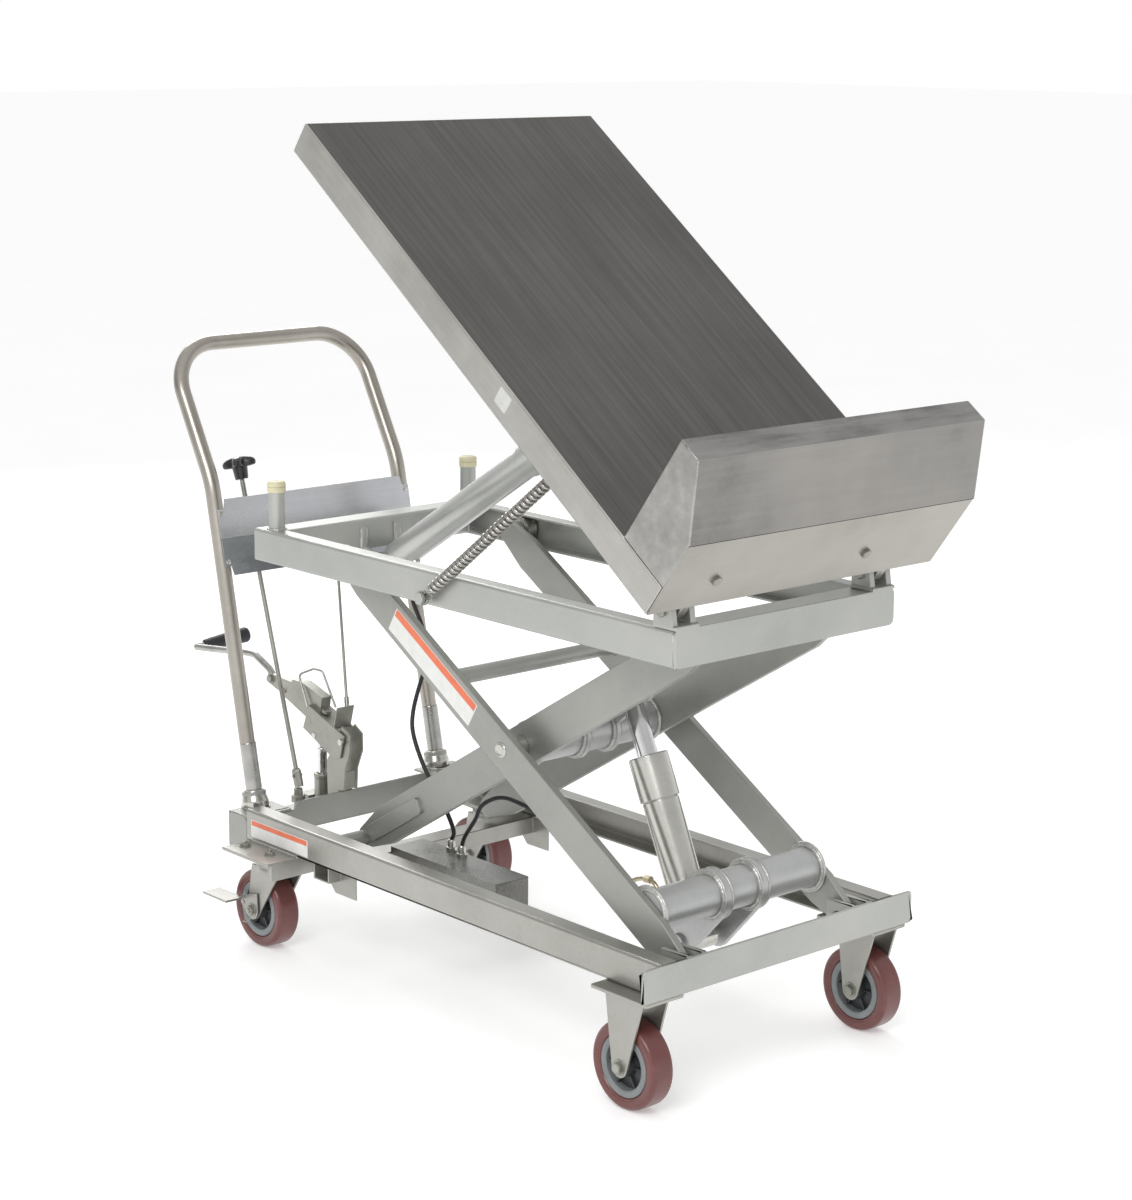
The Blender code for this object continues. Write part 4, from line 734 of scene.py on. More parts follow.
def front_forks():
    top = 0.1697
    for label, side in SIDES.items():
        axle = mirrored(FRONT_AXLE, side)
        leg = hull([(0.35, top - 0.004), (0.424, top - 0.004), *circle(flat(axle), 0.015)])
        shapes = [plate(rectangle((0.322, 0.4355), both(side, (0.19, 0.2625)), 0.004), "XY",
            (top - 0.005, top))]
        shapes += [plate(leg, "XZ", both(side, y), edge=0.0007)
            for y in ((0.2068, 0.2108), (0.2552, 0.2592))]
        shapes.append(cross_pin(axle, both(side, (0.2, 0.2662)), 0.006))
        stand_in(f"front_fork_{label}", shapes, RAIL_STEEL, "base")
        nuts = side_bolt(axle, side * 0.2592, side, 0.0092)
        nuts += side_bolt(axle, side * 0.2068, -side, 0.0092)
        piece(f"front_axle_nuts_{label}", nuts, ZINC, "base")


# ---------------------------------------------------------------- wheels and casters
def wheel_ring(profile, axle, steps, ease):
    """A ring round an axle from one side's (radius, distance) profile, mirrored for the other."""
    profile = profile + [(radius, -distance) for radius, distance in profile[::-1]]
    return turned([(radius, 1 - distance) for radius, distance in profile], axle - ACROSS, axle, steps,
        ease, closed=True)


def wheel(label, body, axle):
    shoulder, half = 0.0068, 0.02
    tread = []
    arc_steps = 6
    for step in range(arc_steps + 1):
        angle = pi / 2 * step / arc_steps
        tread.append((WHEEL_RADIUS - shoulder + shoulder * sin(angle),
            half - shoulder + shoulder * cos(angle)))
    profile = [(0.0461, 0.0172), (0.0476, 0.019), (0.049, 0.0186), (0.0505, 0.0194), *tread]
    stand_in(f"{label}_tyre", [wheel_ring(profile, axle, 72, 0.0003)], TYRE, body)
    rim = [(0.0455, 0.0176), (0.044, 0.0186), (0.0375, 0.0183), (0.0352, 0.0172), (0.0342, 0.007)]
    piece(f"{label}_hub_rim", [wheel_ring(rim, axle, 72, 0.0004)], HUB, body, [f"{label}_hub"])
    core = [(0.0345, 0.0062), (0.017, 0.0078), (0.0152, 0.0205), (0.0072, 0.0208)]
    parts = [wheel_ring(core, axle, 48, 0.0006)]
    ribs = 6
    for index in range(ribs):
        turn = Matrix.Rotation(2 * pi * index / ribs, 4, "Y")
        spin = Matrix.Translation(axle) @ turn @ Matrix.Translation(-axle)
        rib = plate(rectangle((axle.x + 0.014, axle.x + 0.0349), (axle.z - 0.0013, axle.z + 0.0013)), "XZ",
            (axle.y - 0.0125, axle.y + 0.0125), edge=0.0004)
        rib.transform(spin)
        parts.append(rib)
    piece(f"{label}_hub_core", parts, HUB_DARK, body)


def wheels():
    for label, side in SIDES.items():
        wheel(f"front_{label}", f"front_wheel_{label}", mirrored(FRONT_AXLE, side))
        swivel = mirrored(SWIVEL_AXIS, side)
        axle = Vector((swivel.x - REAR_TRAIL, swivel.y, WHEEL_RADIUS))
        wheel(f"rear_{label}", f"rear_wheel_{label}", axle)
        caster = f"caster_{label}"
        cad_piece(f"swivel_fork_{label}", RAIL_STEEL, caster, 0.0008)
        foot = Vector((swivel.x, swivel.y, 0))
        race = [(0.024, 0.1425), (0.0345, 0.1425), (0.0345, 0.147), (0.0325, 0.1485), (0.0345, 0.15),
            (0.035, 0.1545), (0.03, 0.1605), (0.023, 0.164)]
        piece(f"swivel_race_{label}", [upright(race, foot, 48, 0.0006, closed=True)], ZINC, caster)
        ends = []
        for edge in (-1, 1):
            ends += side_bolt(axle, axle.y + edge * 0.0265, edge, 0.0085 if edge * side < 0 else 0.0075)
        piece(f"rear_axle_bolt_{label}", ends, ZINC, caster)
        cad_piece(f"brake_pedal_{label}", RAIL_STEEL, f"brake_{label}", 0.0006)
        face = axle.y + side * 0.0305
        parts = side_bolt(axle, face, side, 0.0088, stub=0.002)
        rivet_foot = Vector((axle.x - 0.0225, face - side * 0.0002, 0.0715))
        rivet_end = Vector((axle.x - 0.0225, face + side, 0.0715))
        rivet = [(0, 0), (0.0034, 0), (0.003, 0.0014), (0, 0.002)]
        parts.append(turned(rivet, rivet_foot, rivet_end, 20, 0.0002))
        spring = [(axle.x - 0.002, face - side * 0.001, 0.052), (axle.x - 0.007, face + side * 0.0006,
            0.044), (axle.x - 0.014, face + side * 0.001, 0.04), (axle.x - 0.019, face + side * 0.004,
            0.041)]
        parts.append(wire(smooth_path(spring, 16), 0.0011, 3))
        piece(f"brake_fastenings_{label}", parts, ZINC, f"brake_{label}")


# ---------------------------------------------------------------- scissor legs
def leg_outline(centre, half_width):
    """A bar with tapered round ends, along X."""
    end_radius, taper = 0.018, 0.0575
    half = LEG_LENGTH / 2
    loop = []
    for end, turn in ((1, 0), (-1, 180)):
        for step in range(-9, 10):
            angle = radians(turn + step * 75 / 9)
            loop.append((centre + end * half + end_radius * cos(angle), end_radius * sin(angle)))
        loop.append((centre + end * (half - taper), end * half_width))
        loop.append((centre - end * (half - taper), end * half_width))
    return loop


def legs():
    inner, outer = OUTER_LEG_Y
    half = LEG_LENGTH / 2
    middle, tip = Vector((-half, 0, 0)), Vector((-LEG_LENGTH, 0, 0))
    near, far = INNER_LEG_Y
    front, back = Vector((half, 0, 0)), Vector((-half, 0, 0))
    for label, side in SIDES.items():
        bar = plate(leg_outline(-half, 0.029), "XZ", both(side, OUTER_LEG_Y), edge=0.0014)
        pins = side_pins(side, (Vector(), (0.146, 0.187), PIN_RADIUS),
            (middle, (0.119, outer + 0.0012), PIN_RADIUS), (middle, (far + 0.0003, inner + 0.001), 0.016),
            (tip, (inner + 0.002, 0.211), AXLE_RADIUS), (tip, (outer - 0.001, 0.1895), 0.012))
        stand_in(f"outer_leg_{label}", [bar, *pins], LEG_STEEL, "outer_legs", placement=OUTER_FRAME)
        face = Vector((middle.x, side * outer, 0))
        peened = [turned([(0, 0), (0.0112, 0), (0.0106, 0.0016), (0.008, 0.0024), (0.0066, 0.0016),
            (0, 0.0014)], face, face + Vector((0, side, 0)), 40, 0.0006),
            bead(ring(face, 0.0108, face.y), 0.0014, 14 + side)]
        piece(f"leg_pivot_weld_{label}", peened, MACHINED, "outer_legs", placement=OUTER_FRAME)

        hole = circle((0, 0), 0.0105)
        shapes = [plate(leg_outline(0, 0.031), "XZ", both(side, INNER_LEG_Y), [hole], edge=0.0014),
            plate(rectangle((-half + 0.02, -half + 0.165), (-0.013, 0.013), 0.006), "XZ",
            both(side, (far - 0.001, far + 0.006)), edge=0.001)]
        shapes += side_pins(side, (front, (0.106, 0.146), PIN_RADIUS),
            (back, (near + 0.002, 0.229), AXLE_RADIUS), (back, (far - 0.001, 0.2065), 0.012))
        stand_in(f"inner_leg_{label}", shapes, LEG_STEEL, "inner_legs", placement=INNER_FRAME)
        roller(f"upper_roller_{label}", UPPER_ROLLER, both(side, (0.19, 0.21)), 0.0205)
        roller(f"lower_roller_{label}", LOWER_ROLLER, both(side, (0.207, 0.2285)), 0.0195)


def roller(name, centre, y, radius):
    start = at_y(centre, min(y))
    width = abs(y[1] - y[0])
    bore = 0.0085
    profile = [(bore, 0), (radius - 0.006, 0), (radius - 0.005, 0.0008), (radius, 0.0008),
        (radius, width - 0.0008), (radius - 0.005, width - 0.0008), (radius - 0.006, width), (bore, width)]
    stand_in(name, [turned(profile, start, start + ACROSS, 48, 0.0005, closed=True)], MACHINED, name)


def strap(ring_centre, eye, eye_radius, faces):
    outline = hull(circle(flat(ring_centre), TUBE_RADIUS + 0.007, 64) + circle(flat(eye), eye_radius, 48))
    holes = [circle(flat(ring_centre), TUBE_RADIUS - 0.003, 48)]
    return plate(outline, "XZ", faces, holes, edge=0.001)


def linked_rings(first, first_radius, second, second_radius, neck):
    """The outline of two round ends joined by a straight neck."""
    heading = atan2(second.z - first.z, second.x - first.x)
    loop = []
    for centre, radius, turn in ((first, first_radius, 0), (second, second_radius, pi)):
        clear = asin(neck / radius)
        for step in range(49):
            angle = heading + turn + clear + (2 * pi - 2 * clear) * step / 48
            loop.append((centre.x + radius * cos(angle), centre.z + radius * sin(angle)))
    return loop


def tube_welds(centre, places, *runs):
    """Ring welds at places on both sides of a tube, each run given as (distance off it, thickness, seed)."""
    return [bead(ring(centre, TUBE_RADIUS + off, side * y), thickness, seed + index + side) for index,
        y in enumerate(places) for side in (-1, 1) for off, thickness, seed in runs]


def torque_tubes():
    tube = sleeve_across(TORQUE_TUBE, 0.16, TUBE_RADIUS - 0.004, TUBE_RADIUS, 64, 0.0004)
    straps = [strap(TORQUE_TUBE, LIFT_BASE, 0.022, both(side, (0.032, 0.042))) for side in SIDES.values()]
    pins = [cross_pin(LIFT_BASE, (-0.04, 0.04), 0.009), cross_pin(LIFT_BASE, (-0.048, -0.041), 0.014,
        ease=0.0012), cross_pin(LIFT_BASE, (0.041, 0.048), 0.014, ease=0.0012)]
    stand_in("lower_torque_tube", [tube, *straps, *pins], TUBE_STEEL, "outer_legs")
    beads = tube_welds(TORQUE_TUBE, (0.03, 0.044, 0.1585), (0.0022, 0.004, 20), (0.0062, 0.0024, 30))
    piece("lower_tube_welds", beads, WELD, "outer_legs")
    caps = [cross_pin(TORQUE_TUBE, both(side, (0.156, 0.1598)), TUBE_RADIUS - 0.0035)
        for side in SIDES.values()]
    piece("lower_tube_ends", caps, TUBE_STEEL, "outer_legs")

    tube = sleeve_across(MIDDLE_PIVOT, 0.1195, 0.024, TUBE_RADIUS, 64, 0.0004)
    shapes = [tube]
    for side in SIDES.values():
        shapes.append(plate(linked_rings(MIDDLE_PIVOT, TUBE_RADIUS + 0.007, LIFT_TIP, 0.019, 0.013), "XZ",
            both(side, (0.026, 0.034)), edge=0.001))
        shapes.append(cross_pin(LIFT_TIP, both(side, (0.033, 0.041)), 0.012, ease=0.0012))
    stand_in("upper_torque_tube", shapes, TUBE_STEEL, "inner_legs")
    beads = tube_welds(MIDDLE_PIVOT, (0.025, 0.035, 0.118), (0.0018, 0.0036, 40))
    piece("upper_tube_welds", beads, WELD, "inner_legs")
    shapes = [cross_pin(CROSS_ROD, (-0.16, 0.16), 0.0125, ease=0.001)]
    stand_in("cross_rod", shapes, GALVANISED, "outer_legs")
    piece("cross_rod_welds", [bead(ring(CROSS_ROD, 0.013, side * 0.1585), 0.002, 60 + side)
        for side in (-1, 1)], WELD, "outer_legs")


# ---------------------------------------------------------------- hydraulic cylinders
def ram(name, base, tip, barrel, look, eye, shaft, far_eye, extras=()):
    """A hydraulic cylinder: the barrel with its eye at the base, and the rod with its eye at the tip.

    The eye is (half width, bore, radius). The shaft is (start, radius, shoulder, end radius, end),
    with its shoulder and end measured back from the tip.
    """
    ahead = base + (tip - base).normalized()
    barrel = turned(barrel, base, ahead, 64, 0.0006)
    stand_in(f"{name}_barrel", [barrel, sleeve_across(base, *eye, 40, 0.0006), *extras], look,
        f"{name}_cylinder")
    length = (tip - base).length
    start, radius, shoulder, end_radius, end = shaft
    shaft = [(0, start), (radius, start), (radius, length - shoulder), (end_radius, length - end),
        (0, length - end)]
    stand_in(f"{name}_rod", [turned(shaft, base, ahead, 48, 0.0006), cross_pin(tip, (-0.02, 0.02), far_eye,
        40)], CHROME, f"{name}_piston")


def hydraulics():
    foot = 0.018 * 0.85
    barrel = [(0, foot), (0.0255, foot), (0.0275, foot + 0.002), (0.0275, 0.2055), (0.0262, 0.206),
        (0.0262, 0.2075), (0.0298, 0.208), (0.0298, 0.2725), (0.0285, 0.274), (0.019, 0.274),
        (0.0159, 0.2725), (0.0159, 0.035), (0, 0.035)]
    ram("lift", LIFT_BASE, LIFT_TIP, barrel, MACHINED, (0.02, 0.01, 0.018),
        (0.115, 0.0155, 0.016, 0.012, 0.01), 0.018)
    pipe = smooth_path([(0.084, -0.032, 0.252), (0.102, -0.03, 0.247), (0.115, -0.03, 0.233),
        (0.123, -0.03, 0.219), (0.142, -0.03, 0.22), (0.169, -0.03, 0.234), (0.193, -0.031, 0.2395),
        (0.208, -0.031, 0.234), (0.217, -0.031, 0.22), (0.223, -0.03, 0.203), (0.23, -0.026, 0.188)], 60)
    gland = Vector((0.186, -0.031, 0.2385))
    piece("lift_port_pipe", [wire(pipe, 0.0034), hexagon(gland, gland + Vector((0.0125, 0, 0.001)),
        0.0062)], BRASS, "outer_legs")

    foot = 0.017 * 0.85
    barrel = [(0, foot), (0.0225, foot), (0.0245, foot + 0.002), (0.0245, 0.3935), (0.0238, 0.3945),
        (0.0275, 0.397), (0.0275, 0.4235), (0.026, 0.425), (0.0175, 0.425), (0.0144, 0.4235),
        (0.0144, 0.04), (0, 0.04)]
    reach = (TILT_TIP - TILT_BASE).normalized()
    port = TILT_BASE + reach * 0.055
    below = Vector((reach.z, 0, -reach.x))
    boss = rod(port + below * 0.02, port + below * 0.028, 0.0085, 28, 0.001)
    ram("tilt", TILT_BASE, TILT_TIP, barrel, PAINTED_BARREL, (0.022, 0.009, 0.017),
        (0.235, 0.014, 0.014, 0.0115, 0.009), 0.016, [boss])


# ---------------------------------------------------------------- upper frame and top
def upper_frame():
    for label, side in SIDES.items():
        cad_piece(f"upper_rail_{label}", GALVANISED, "upper_frame", 0.0014, 3, 0.0048)
        post = Vector((-0.496, side * 0.195, 0.68))
        piece(f"post_weld_{label}", [bead(level_ring(post + Vector((0, 0, 0.0008)), 0.0138), 0.002,
            70 + side)], WELD, "upper_frame")
        top = Vector((post.x, post.y, 0.7483))
        cap = [(0, 0), (0.0145, 0), (0.0148, 0.004), (0.014, 0.0072), (0.0118, 0.0086), (0, 0.0087)]
        sleeve = [(0.01305, -0.0085), (0.0147, -0.0085), (0.0147, 0), (0.01305, 0)]
        stand_in(f"bumper_cap_{label}", [upright(cap, top, 40, 0.0012),
            upright(sleeve, top, 40, 0.0005, closed=True)], CREAM, "upper_frame")
        bolts = side_bolt(SPRING_BASE, side * 0.2341, side, 0.0064, washer_share=1.72)
        piece(f"spring_bolt_{label}", bolts, ZINC, "upper_frame")
        corner = [bead([(-0.528, side * 0.187, 0.6802), (-0.484, side * 0.187, 0.6802)], 0.0022, 75 + side),
            bead([(0.4285, side * 0.212, 0.629), (0.4285, side * 0.2155, 0.676)], 0.002, 79 + side)]
        piece(f"upper_corner_welds_{label}", corner, WELD, "upper_frame")
    cad_piece("upper_front_angle", GALVANISED, "upper_frame", 0.0014, 3, 0.0045)
    cad_piece("upper_rear_beam", GALVANISED, "upper_frame", 0.0014, 3, 0.0045)
    beads = []
    for index, y in enumerate((-0.0385, -0.0295, 0.0295, 0.0385)):
        beads.append(bead([(-0.4822, y, 0.634), (-0.4822, y, 0.666)], 0.0036, 90 + index))
    for index, y in enumerate((-0.186, 0.186)):
        beads.append(bead([(-0.4825, y, 0.632), (-0.4825, y, 0.676)], 0.0022, 96 + index))
    piece("rear_beam_welds", beads, WELD, "upper_frame")
    pins = []
    for side in SIDES.values():
        pins += side_bolt(TILT_BASE, side * 0.038, side, 0.0105)
        for y, way in ((0.172, -1), (0.2162, 1)):
            pins += side_bolt(TABLE_HINGE, side * y, side * way, 0.0085, washer=False)
        for y, way in ((0.108, -1), (0.144, 1)):
            pins += side_bolt(UPPER_PIVOT, side * y, side * way, 0.0095, washer=False)
    piece("upper_frame_pin_ends", pins, ZINC, "upper_frame")


def table_top():
    pan = make("table_pan_body", [softened("table_pan", 0.0022, 3)], APRON)
    # faces pointing along the table's up get the darker top colour: painted shade picked by which way each
    # face points
    pan.data.materials.append(TOP_SHEET_PAINTED_SHADE)
    up = TABLE_FRAME.to_3x3() @ UP
    for face in pan.data.polygons:
        if face.normal.dot(up) > SAME_WAY:
            face.material_index = 1
    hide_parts("table_pan")
    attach(pan, "table")
    lip()
    bolts = []
    for y in (-0.182, 0.108):
        bolts += bolt((TABLE_END - 0.0008, y, TABLE_TOP - 0.002), (1, 0, 0), 0.0082, washer=False)
    on_table("lip_bolts", bolts, ZINC)
    stubs = []
    for side in SIDES.values():
        stubs += side_bolt(SPRING_TIP_ON_TABLE, side * 0.2345, side, 0.0078)
    on_table("spring_stub_heads", stubs, ZINC)
    edge = -TABLE_HALF_WIDTH
    badge = [plate(rectangle((-0.372, -0.344), (0.045, 0.072), 0.002), "XZ", (edge - 0.0003, edge + 0.0003),
        edge=0.0001)]
    on_table("apron_badge", badge, BADGE)


def lip():
    """The closed toe at the low end: a folded box on the sheet, and a skirt hung below the fold."""
    back = TABLE_END - TOE_DEPTH
    crest = TABLE_TOP + TOE_HEIGHT
    fold = TABLE_TOP + TOE_FOLD
    crest_front = TABLE_END - (TOE_DEPTH - TOE_CREST)
    outline = [(back, TABLE_TOP + 0.0003), (TABLE_END - 0.0012, TABLE_TOP + 0.0003),
        (TABLE_END - 0.0012, fold - 0.0016), (TABLE_END, fold), (crest_front, crest), (back, crest)]
    half = TABLE_HALF_WIDTH
    body = make("toe_box_body", [plate(outline, "XZ", (-half, half), edge=0.0024)], LIP_END)
    for look in (LIP_FACE_PAINTED_SHADE, LIP_CREST_PAINTED_REFLECTION, LIP_SKIRT):
        body.data.materials.append(look)
    turn = TABLE_FRAME.to_3x3()
    body.data.transform(TO_ROW @ TABLE_FRAME @ TO_ROW.inverted())
    # each face takes the colour for the way it points: painted shade on the slanted upper face, a painted
    # reflection on the crest, the lighter skirt tone on the front
    painted_tone_by_facing = ((turn @ Vector((0.87, 0, 0.49)), 1), (turn @ UP, 2), (turn @ Vector((1, 0, 0)), 3))
    for face in body.data.polygons:
        for facing, slot in painted_tone_by_facing:
            if face.normal.dot(facing) > SAME_WAY:
                face.material_index = slot
    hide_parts("toe_box")
    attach(body, "table")
    skirt = plate([(half - 0.001, fold - 0.0016), (-half + 0.001, fold - 0.0016),
        (-half + 0.001, TABLE_TOP - TABLE_APRON), (half - 0.001, TABLE_TOP - TABLE_APRON)], "YZ",
        (TABLE_END - 0.0028, TABLE_END - 0.0008))
    on_table("toe_skirt", [skirt], LIP_SKIRT)
    seam = 0.0019
    runs = []
    for index, side in enumerate(SIDES.values()):
        y = side * (half - seam)
        runs.append(bead([(TABLE_END - seam, y, fold), (crest_front - seam * 0.4, y, crest - seam)], 0.0014,
            130 + index))
        runs.append(bead([(crest_front - seam, y, crest - seam * 0.8),
            (back + seam, y, crest - seam * 0.8)], 0.0013, 134 + index))
    on_table("toe_welds", runs, WELD)
    # a thin near-black wire along the fold: painted shadow under the upper panel's edge
    line = wire([Vector((TABLE_END - 0.0007, side * (half - 0.002), fold - 0.001)) for side in (-1, 1)],
        0.0009, 2)
    on_table("toe_fold_painted_shadow", [line], SEAM_PAINTED_SHADOW)


def springs():
    coil_radius = 0.0068
    wire_radius = 0.003
    loop_radius = 0.0085
    coil_from = 0.022
    turns = 34
    per_turn = 20
    for label, side in SIDES.items():
        start = mirrored(SPRING_BASE, side)
        end = mirrored(SPRING_TIP, side)
        length = (end - start).length
        path = []
        for step in range(25):
            angle = radians(40 + step * 13)
            path.append(Vector((loop_radius * sin(angle), 0, loop_radius * cos(angle))))
        path.append(Vector((0, 0, coil_from - 0.008)))
        coil = []
        count = turns * per_turn
        for step in range(count + 1):
            angle = 2 * pi * step / per_turn
            height = coil_from + (length - 2 * coil_from) * step / count
            coil.append(Vector((coil_radius * cos(angle), coil_radius * sin(angle), height)))
        back = [Vector((-point.x, point.y, length - point.z)) for point in path[::-1]]
        shape = wire(path + coil + back, wire_radius, 3)
        shape.transform(frame_along(start, end))
        spring = make(f"balance_spring_{label}_coil", [shape], SPRING_WIRE, weighted=False)
        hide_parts(f"balance_spring_{label}")
        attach(spring, f"spring_{label}")
        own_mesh(spring)


# ---------------------------------------------------------------- foot pump and controls
def pump():
    plate_top = 0.1693
    foot = Vector((PLUNGER_X, PUMP_Y, plate_top))
    body = [(0, 0), (0.014, 0), (0.014, 0.054), (0.015, 0.056), (0.015, 0.0605), (0.0135, 0.0618),
        (0.0095, 0.0618), (0.0095, 0.012), (0, 0.012)]
    block = plate(rectangle((-0.64, -0.6105), (PUMP_Y - 0.02, PUMP_Y + 0.02), 0.003), "XY",
        (plate_top, 0.192))
    piece("pump_body_turned", [upright(body, foot, 48, 0.0006), block], ZINC, "base", ["pump_body"])
    cad_piece("pump_bracket", ZINC, "base", 0.0006)
    rod_foot = Vector((PLUNGER_X, PUMP_Y, 0.212))
    plunger = [(0, 0), (0.0085, 0), (0.0085, 0.062), (0.0078, 0.0635), (0.0085, 0.065), (0.0085, 0.073),
        (0, 0.073)]
    stand_in("pump_plunger", [upright(plunger, rod_foot, 40, 0.0006)], CHROME, "plunger")
    cad_piece("pump_lever", ZINC, "pedal", 0.0007)
    cap = Vector((-0.58, PUMP_Y - 0.004, 0.3395))
    normal = Vector((0.33, 0, 0.944)).normalized()
    near_face = PUMP_Y - 0.018
    cap_screw = [(0, 0), (0.0085, 0), (0.0085, 0.006), (0.004, 0.0062), (0.0038, 0.0035), (0, 0.0035)]
    details = [turned(cap_screw, cap, cap + normal, 32, 0.0006)]
    details += bolt((-0.6905, PUMP_Y - 0.01, 0.356), (0, -1, 0), 0.005, washer=False)
    for way in (-1, 1):
        details += bolt((-0.734, PUMP_Y + way * 0.006, 0.3685), (0, way, 0), 0.0072)
    piece("pump_lever_fastenings", details, ZINC, "pedal")
    dark = [cross_pin(Vector((-0.5965, 0, 0.2985)), (near_face - 0.0012, near_face + 0.001), 0.0052),
        cross_pin(Vector((PEDAL_PIVOT.x, 0, PEDAL_PIVOT.z)), (near_face - 0.0042, near_face), 0.0056)]
    piece("pump_lever_pins", dark, MACHINED, "pedal")
    bail = []
    for point, y in (((-0.616, 0.343), -0.016), ((-0.643, 0.394), -0.014), ((-0.619, 0.406), 0.0),
            ((-0.603, 0.404), 0.006), ((-0.575, 0.346), 0.012)):
        bail.append(Vector((point[0], PUMP_Y + y, point[1])))
    piece("pump_bail", [wire(rounded_path(bail, (0.008, 0.008, 0.008), 8), 0.0019, 4)], BAR_METAL, "pedal")

    knee = [(-0.729, 0.3655), (-0.7455, 0.382), (-0.789, 0.4), (-0.82, 0.398), (-0.877, 0.391),
        (-0.973, 0.38)]
    route = [Vector((x, PUMP_Y, z)) for x, z in knee] + [Vector((-0.973, PUMP_Y + 0.019, 0.38))]
    bar = wire(rounded_path(route, (0.02, 0.03, 0.03, 0.05, 0.011), 12), 0.006, 6)
    stand_in("pedal_bar", [bar], BAR_METAL, "pedal")
    grip_length = 0.093
    grip_profile = [(0, 0), (0.0088, 0), (0.01, 0.004), (0.0122, 0.04), (0.0136, 0.08), (0.014, 0.088),
        (0.0124, 0.0925), (0, grip_length)]
    start = Vector((-0.972, PUMP_Y + 0.0195, 0.38))
    end = Vector((-0.972, start.y + grip_length, 0.3865))
    shapes = [turned(grip_profile, start, end, 40, 0.0022)]
    for part in (0.16, 0.28, 0.4, 0.52, 0.64, 0.76):
        inner, outer, at = 0.0084 + 0.0035 * part, 0.0105 + 0.0035 * part, grip_length * part
        ridge = [(inner, at), (outer, at), (outer, at + 0.0022), (inner, at + 0.0022)]
        shapes.append(turned(ridge, start, end, 32, 0.0006, closed=True))
    stand_in("pedal_grip", shapes, GRIP, "pedal")


def controls():
    direction = (RELEASE_KNOB - RELEASE_FOOT).normalized()
    top = RELEASE_KNOB - direction * 0.029
    pitch, root, crest = 0.002, 0.003, 0.0047
    thread = []
    for index in range(28):
        at = pitch * index
        ridge = [(root, at), (crest, at + 0.0005), (crest, at + 0.001), (root, at + 0.0016)]
        thread.append(turned(ridge, top - direction * 0.06, top, 20, 0.0001, closed=True))
    clevis = [turned([(0, 0), (0.0072, 0), (0.0076, 0.006), (0.0076, 0.026), (0.006, 0.03), (0, 0.033)],
        RELEASE_FOOT - direction * 0.011, RELEASE_FOOT, 6, 0.001),
        cross_pin(RELEASE_FOOT + direction * 0.008, (RELEASE_FOOT.y - 0.0092, RELEASE_FOOT.y + 0.0092),
        0.0026, 16)]
    stand_in("release_rod", [rod(RELEASE_FOOT, top, 0.0038, 24), *clevis, *thread], ZINC, "release_control")
    knob_frame = frame_along(RELEASE_KNOB, RELEASE_KNOB + direction)
    stem = turned([(0, -0.029), (0.0105, -0.029), (0.0112, -0.026), (0.0132, -0.004), (0.0132, 0.004),
        (0, 0.004)], Vector((0, 0, 0)), UP, 40, 0.001)
    stand_in("release_knob", [lobed_crown(), stem], BLACK, "release_control", placement=knob_frame)
    reach = (SELECTOR_TOP - SELECTOR_FOOT).normalized()
    eye = SELECTOR_FOOT + reach * 0.004
    stand_in("selector_rod", [rod(SELECTOR_FOOT, SELECTOR_TOP, 0.0024, 20),
        rod(eye, eye + reach * 0.016, 0.004, 20)], ZINC, "selector")
    stub = Vector((RELEASE_FOOT.x, RELEASE_FOOT.y, 0.206))
    piece("release_valve_nut", [hexagon(stub, stub + Vector((0, 0, 0.012)), 0.0115),
        rod(stub, stub + Vector((0, 0, 0.0235)), 0.0074, 24, 0.001)], ZINC, "base")


def lobed_crown():
    """A star knob's crown: four drooping lobes, domed over the top."""
    lobes, sides = 4, 72
    low, high = -0.0085, 0.009
    vertices = []
    levels = [(0.42, low + 0.002), (0.84, low), (0.95, low + 0.0008), (0.995, low + 0.003), (1.0, 0.0),
        (0.985, 0.003), (0.93, 0.0052), (0.78, 0.007), (0.55, 0.0083), (0.28, 0.0089)]
    for share, height in levels:
        for step in range(sides):
            angle = 2 * pi * step / sides
            lobe = -cos(lobes * angle)
            radius = (0.021 + 0.007 * lobe * share) * share
            lift = height - 0.003 * share ** 4 * (1 if height > 0 else 0)
            vertices.append((radius * cos(angle), radius * sin(angle), lift))
    vertices += [(0, 0, low), (0, 0, high)]
    faces = []
    for level in range(len(levels) - 1):
        for step in range(sides):
            here, there = level * sides + step, level * sides + (step + 1) % sides
            faces.append((here, there, there + sides, here + sides))
    last = (len(levels) - 1) * sides
    for step in range(sides):
        faces.append((len(vertices) - 2, (step + 1) % sides, step))
        faces.append((len(vertices) - 1, last + step, last + (step + 1) % sides))
    mesh = bpy.data.meshes.new("crown")
    mesh.from_pydata(vertices, [], faces)
    return clean(mesh)


# ---------------------------------------------------------------- hoses and labels
TILT_HOSE_ROUTE = [(-0.401, 0.0, 0.568), (-0.399, 0.001, 0.55), (-0.381, 0.003, 0.518),
    (-0.356, 0.0, 0.475), (-0.361, -0.015, 0.429), (-0.364, -0.028, 0.3815), (-0.351, -0.038, 0.348),
    (-0.315, -0.044, 0.301), (-0.269, -0.046, 0.257), (-0.244, -0.043, 0.215), (-0.25, -0.042, 0.196),
    (-0.25, -0.042, 0.1812)]
LIFT_HOSE_ROUTE = [(-0.2146, -0.05, 0.1812), (-0.214, -0.05, 0.196), (-0.198, -0.057, 0.218),
    (-0.16, -0.068, 0.256), (-0.1341, -0.075, 0.2868), (-0.0988, -0.07, 0.3057), (-0.0588, -0.065, 0.3051),
    (0.02, -0.055, 0.288), (0.078, -0.045, 0.264), (0.11, -0.039, 0.245)]


def hose(name, route):
    tube = make(f"{name}_tube", [wire(smooth_path(route, 90), 0.0035)], HOSE, weighted=False)
    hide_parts(name)
    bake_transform(tube)


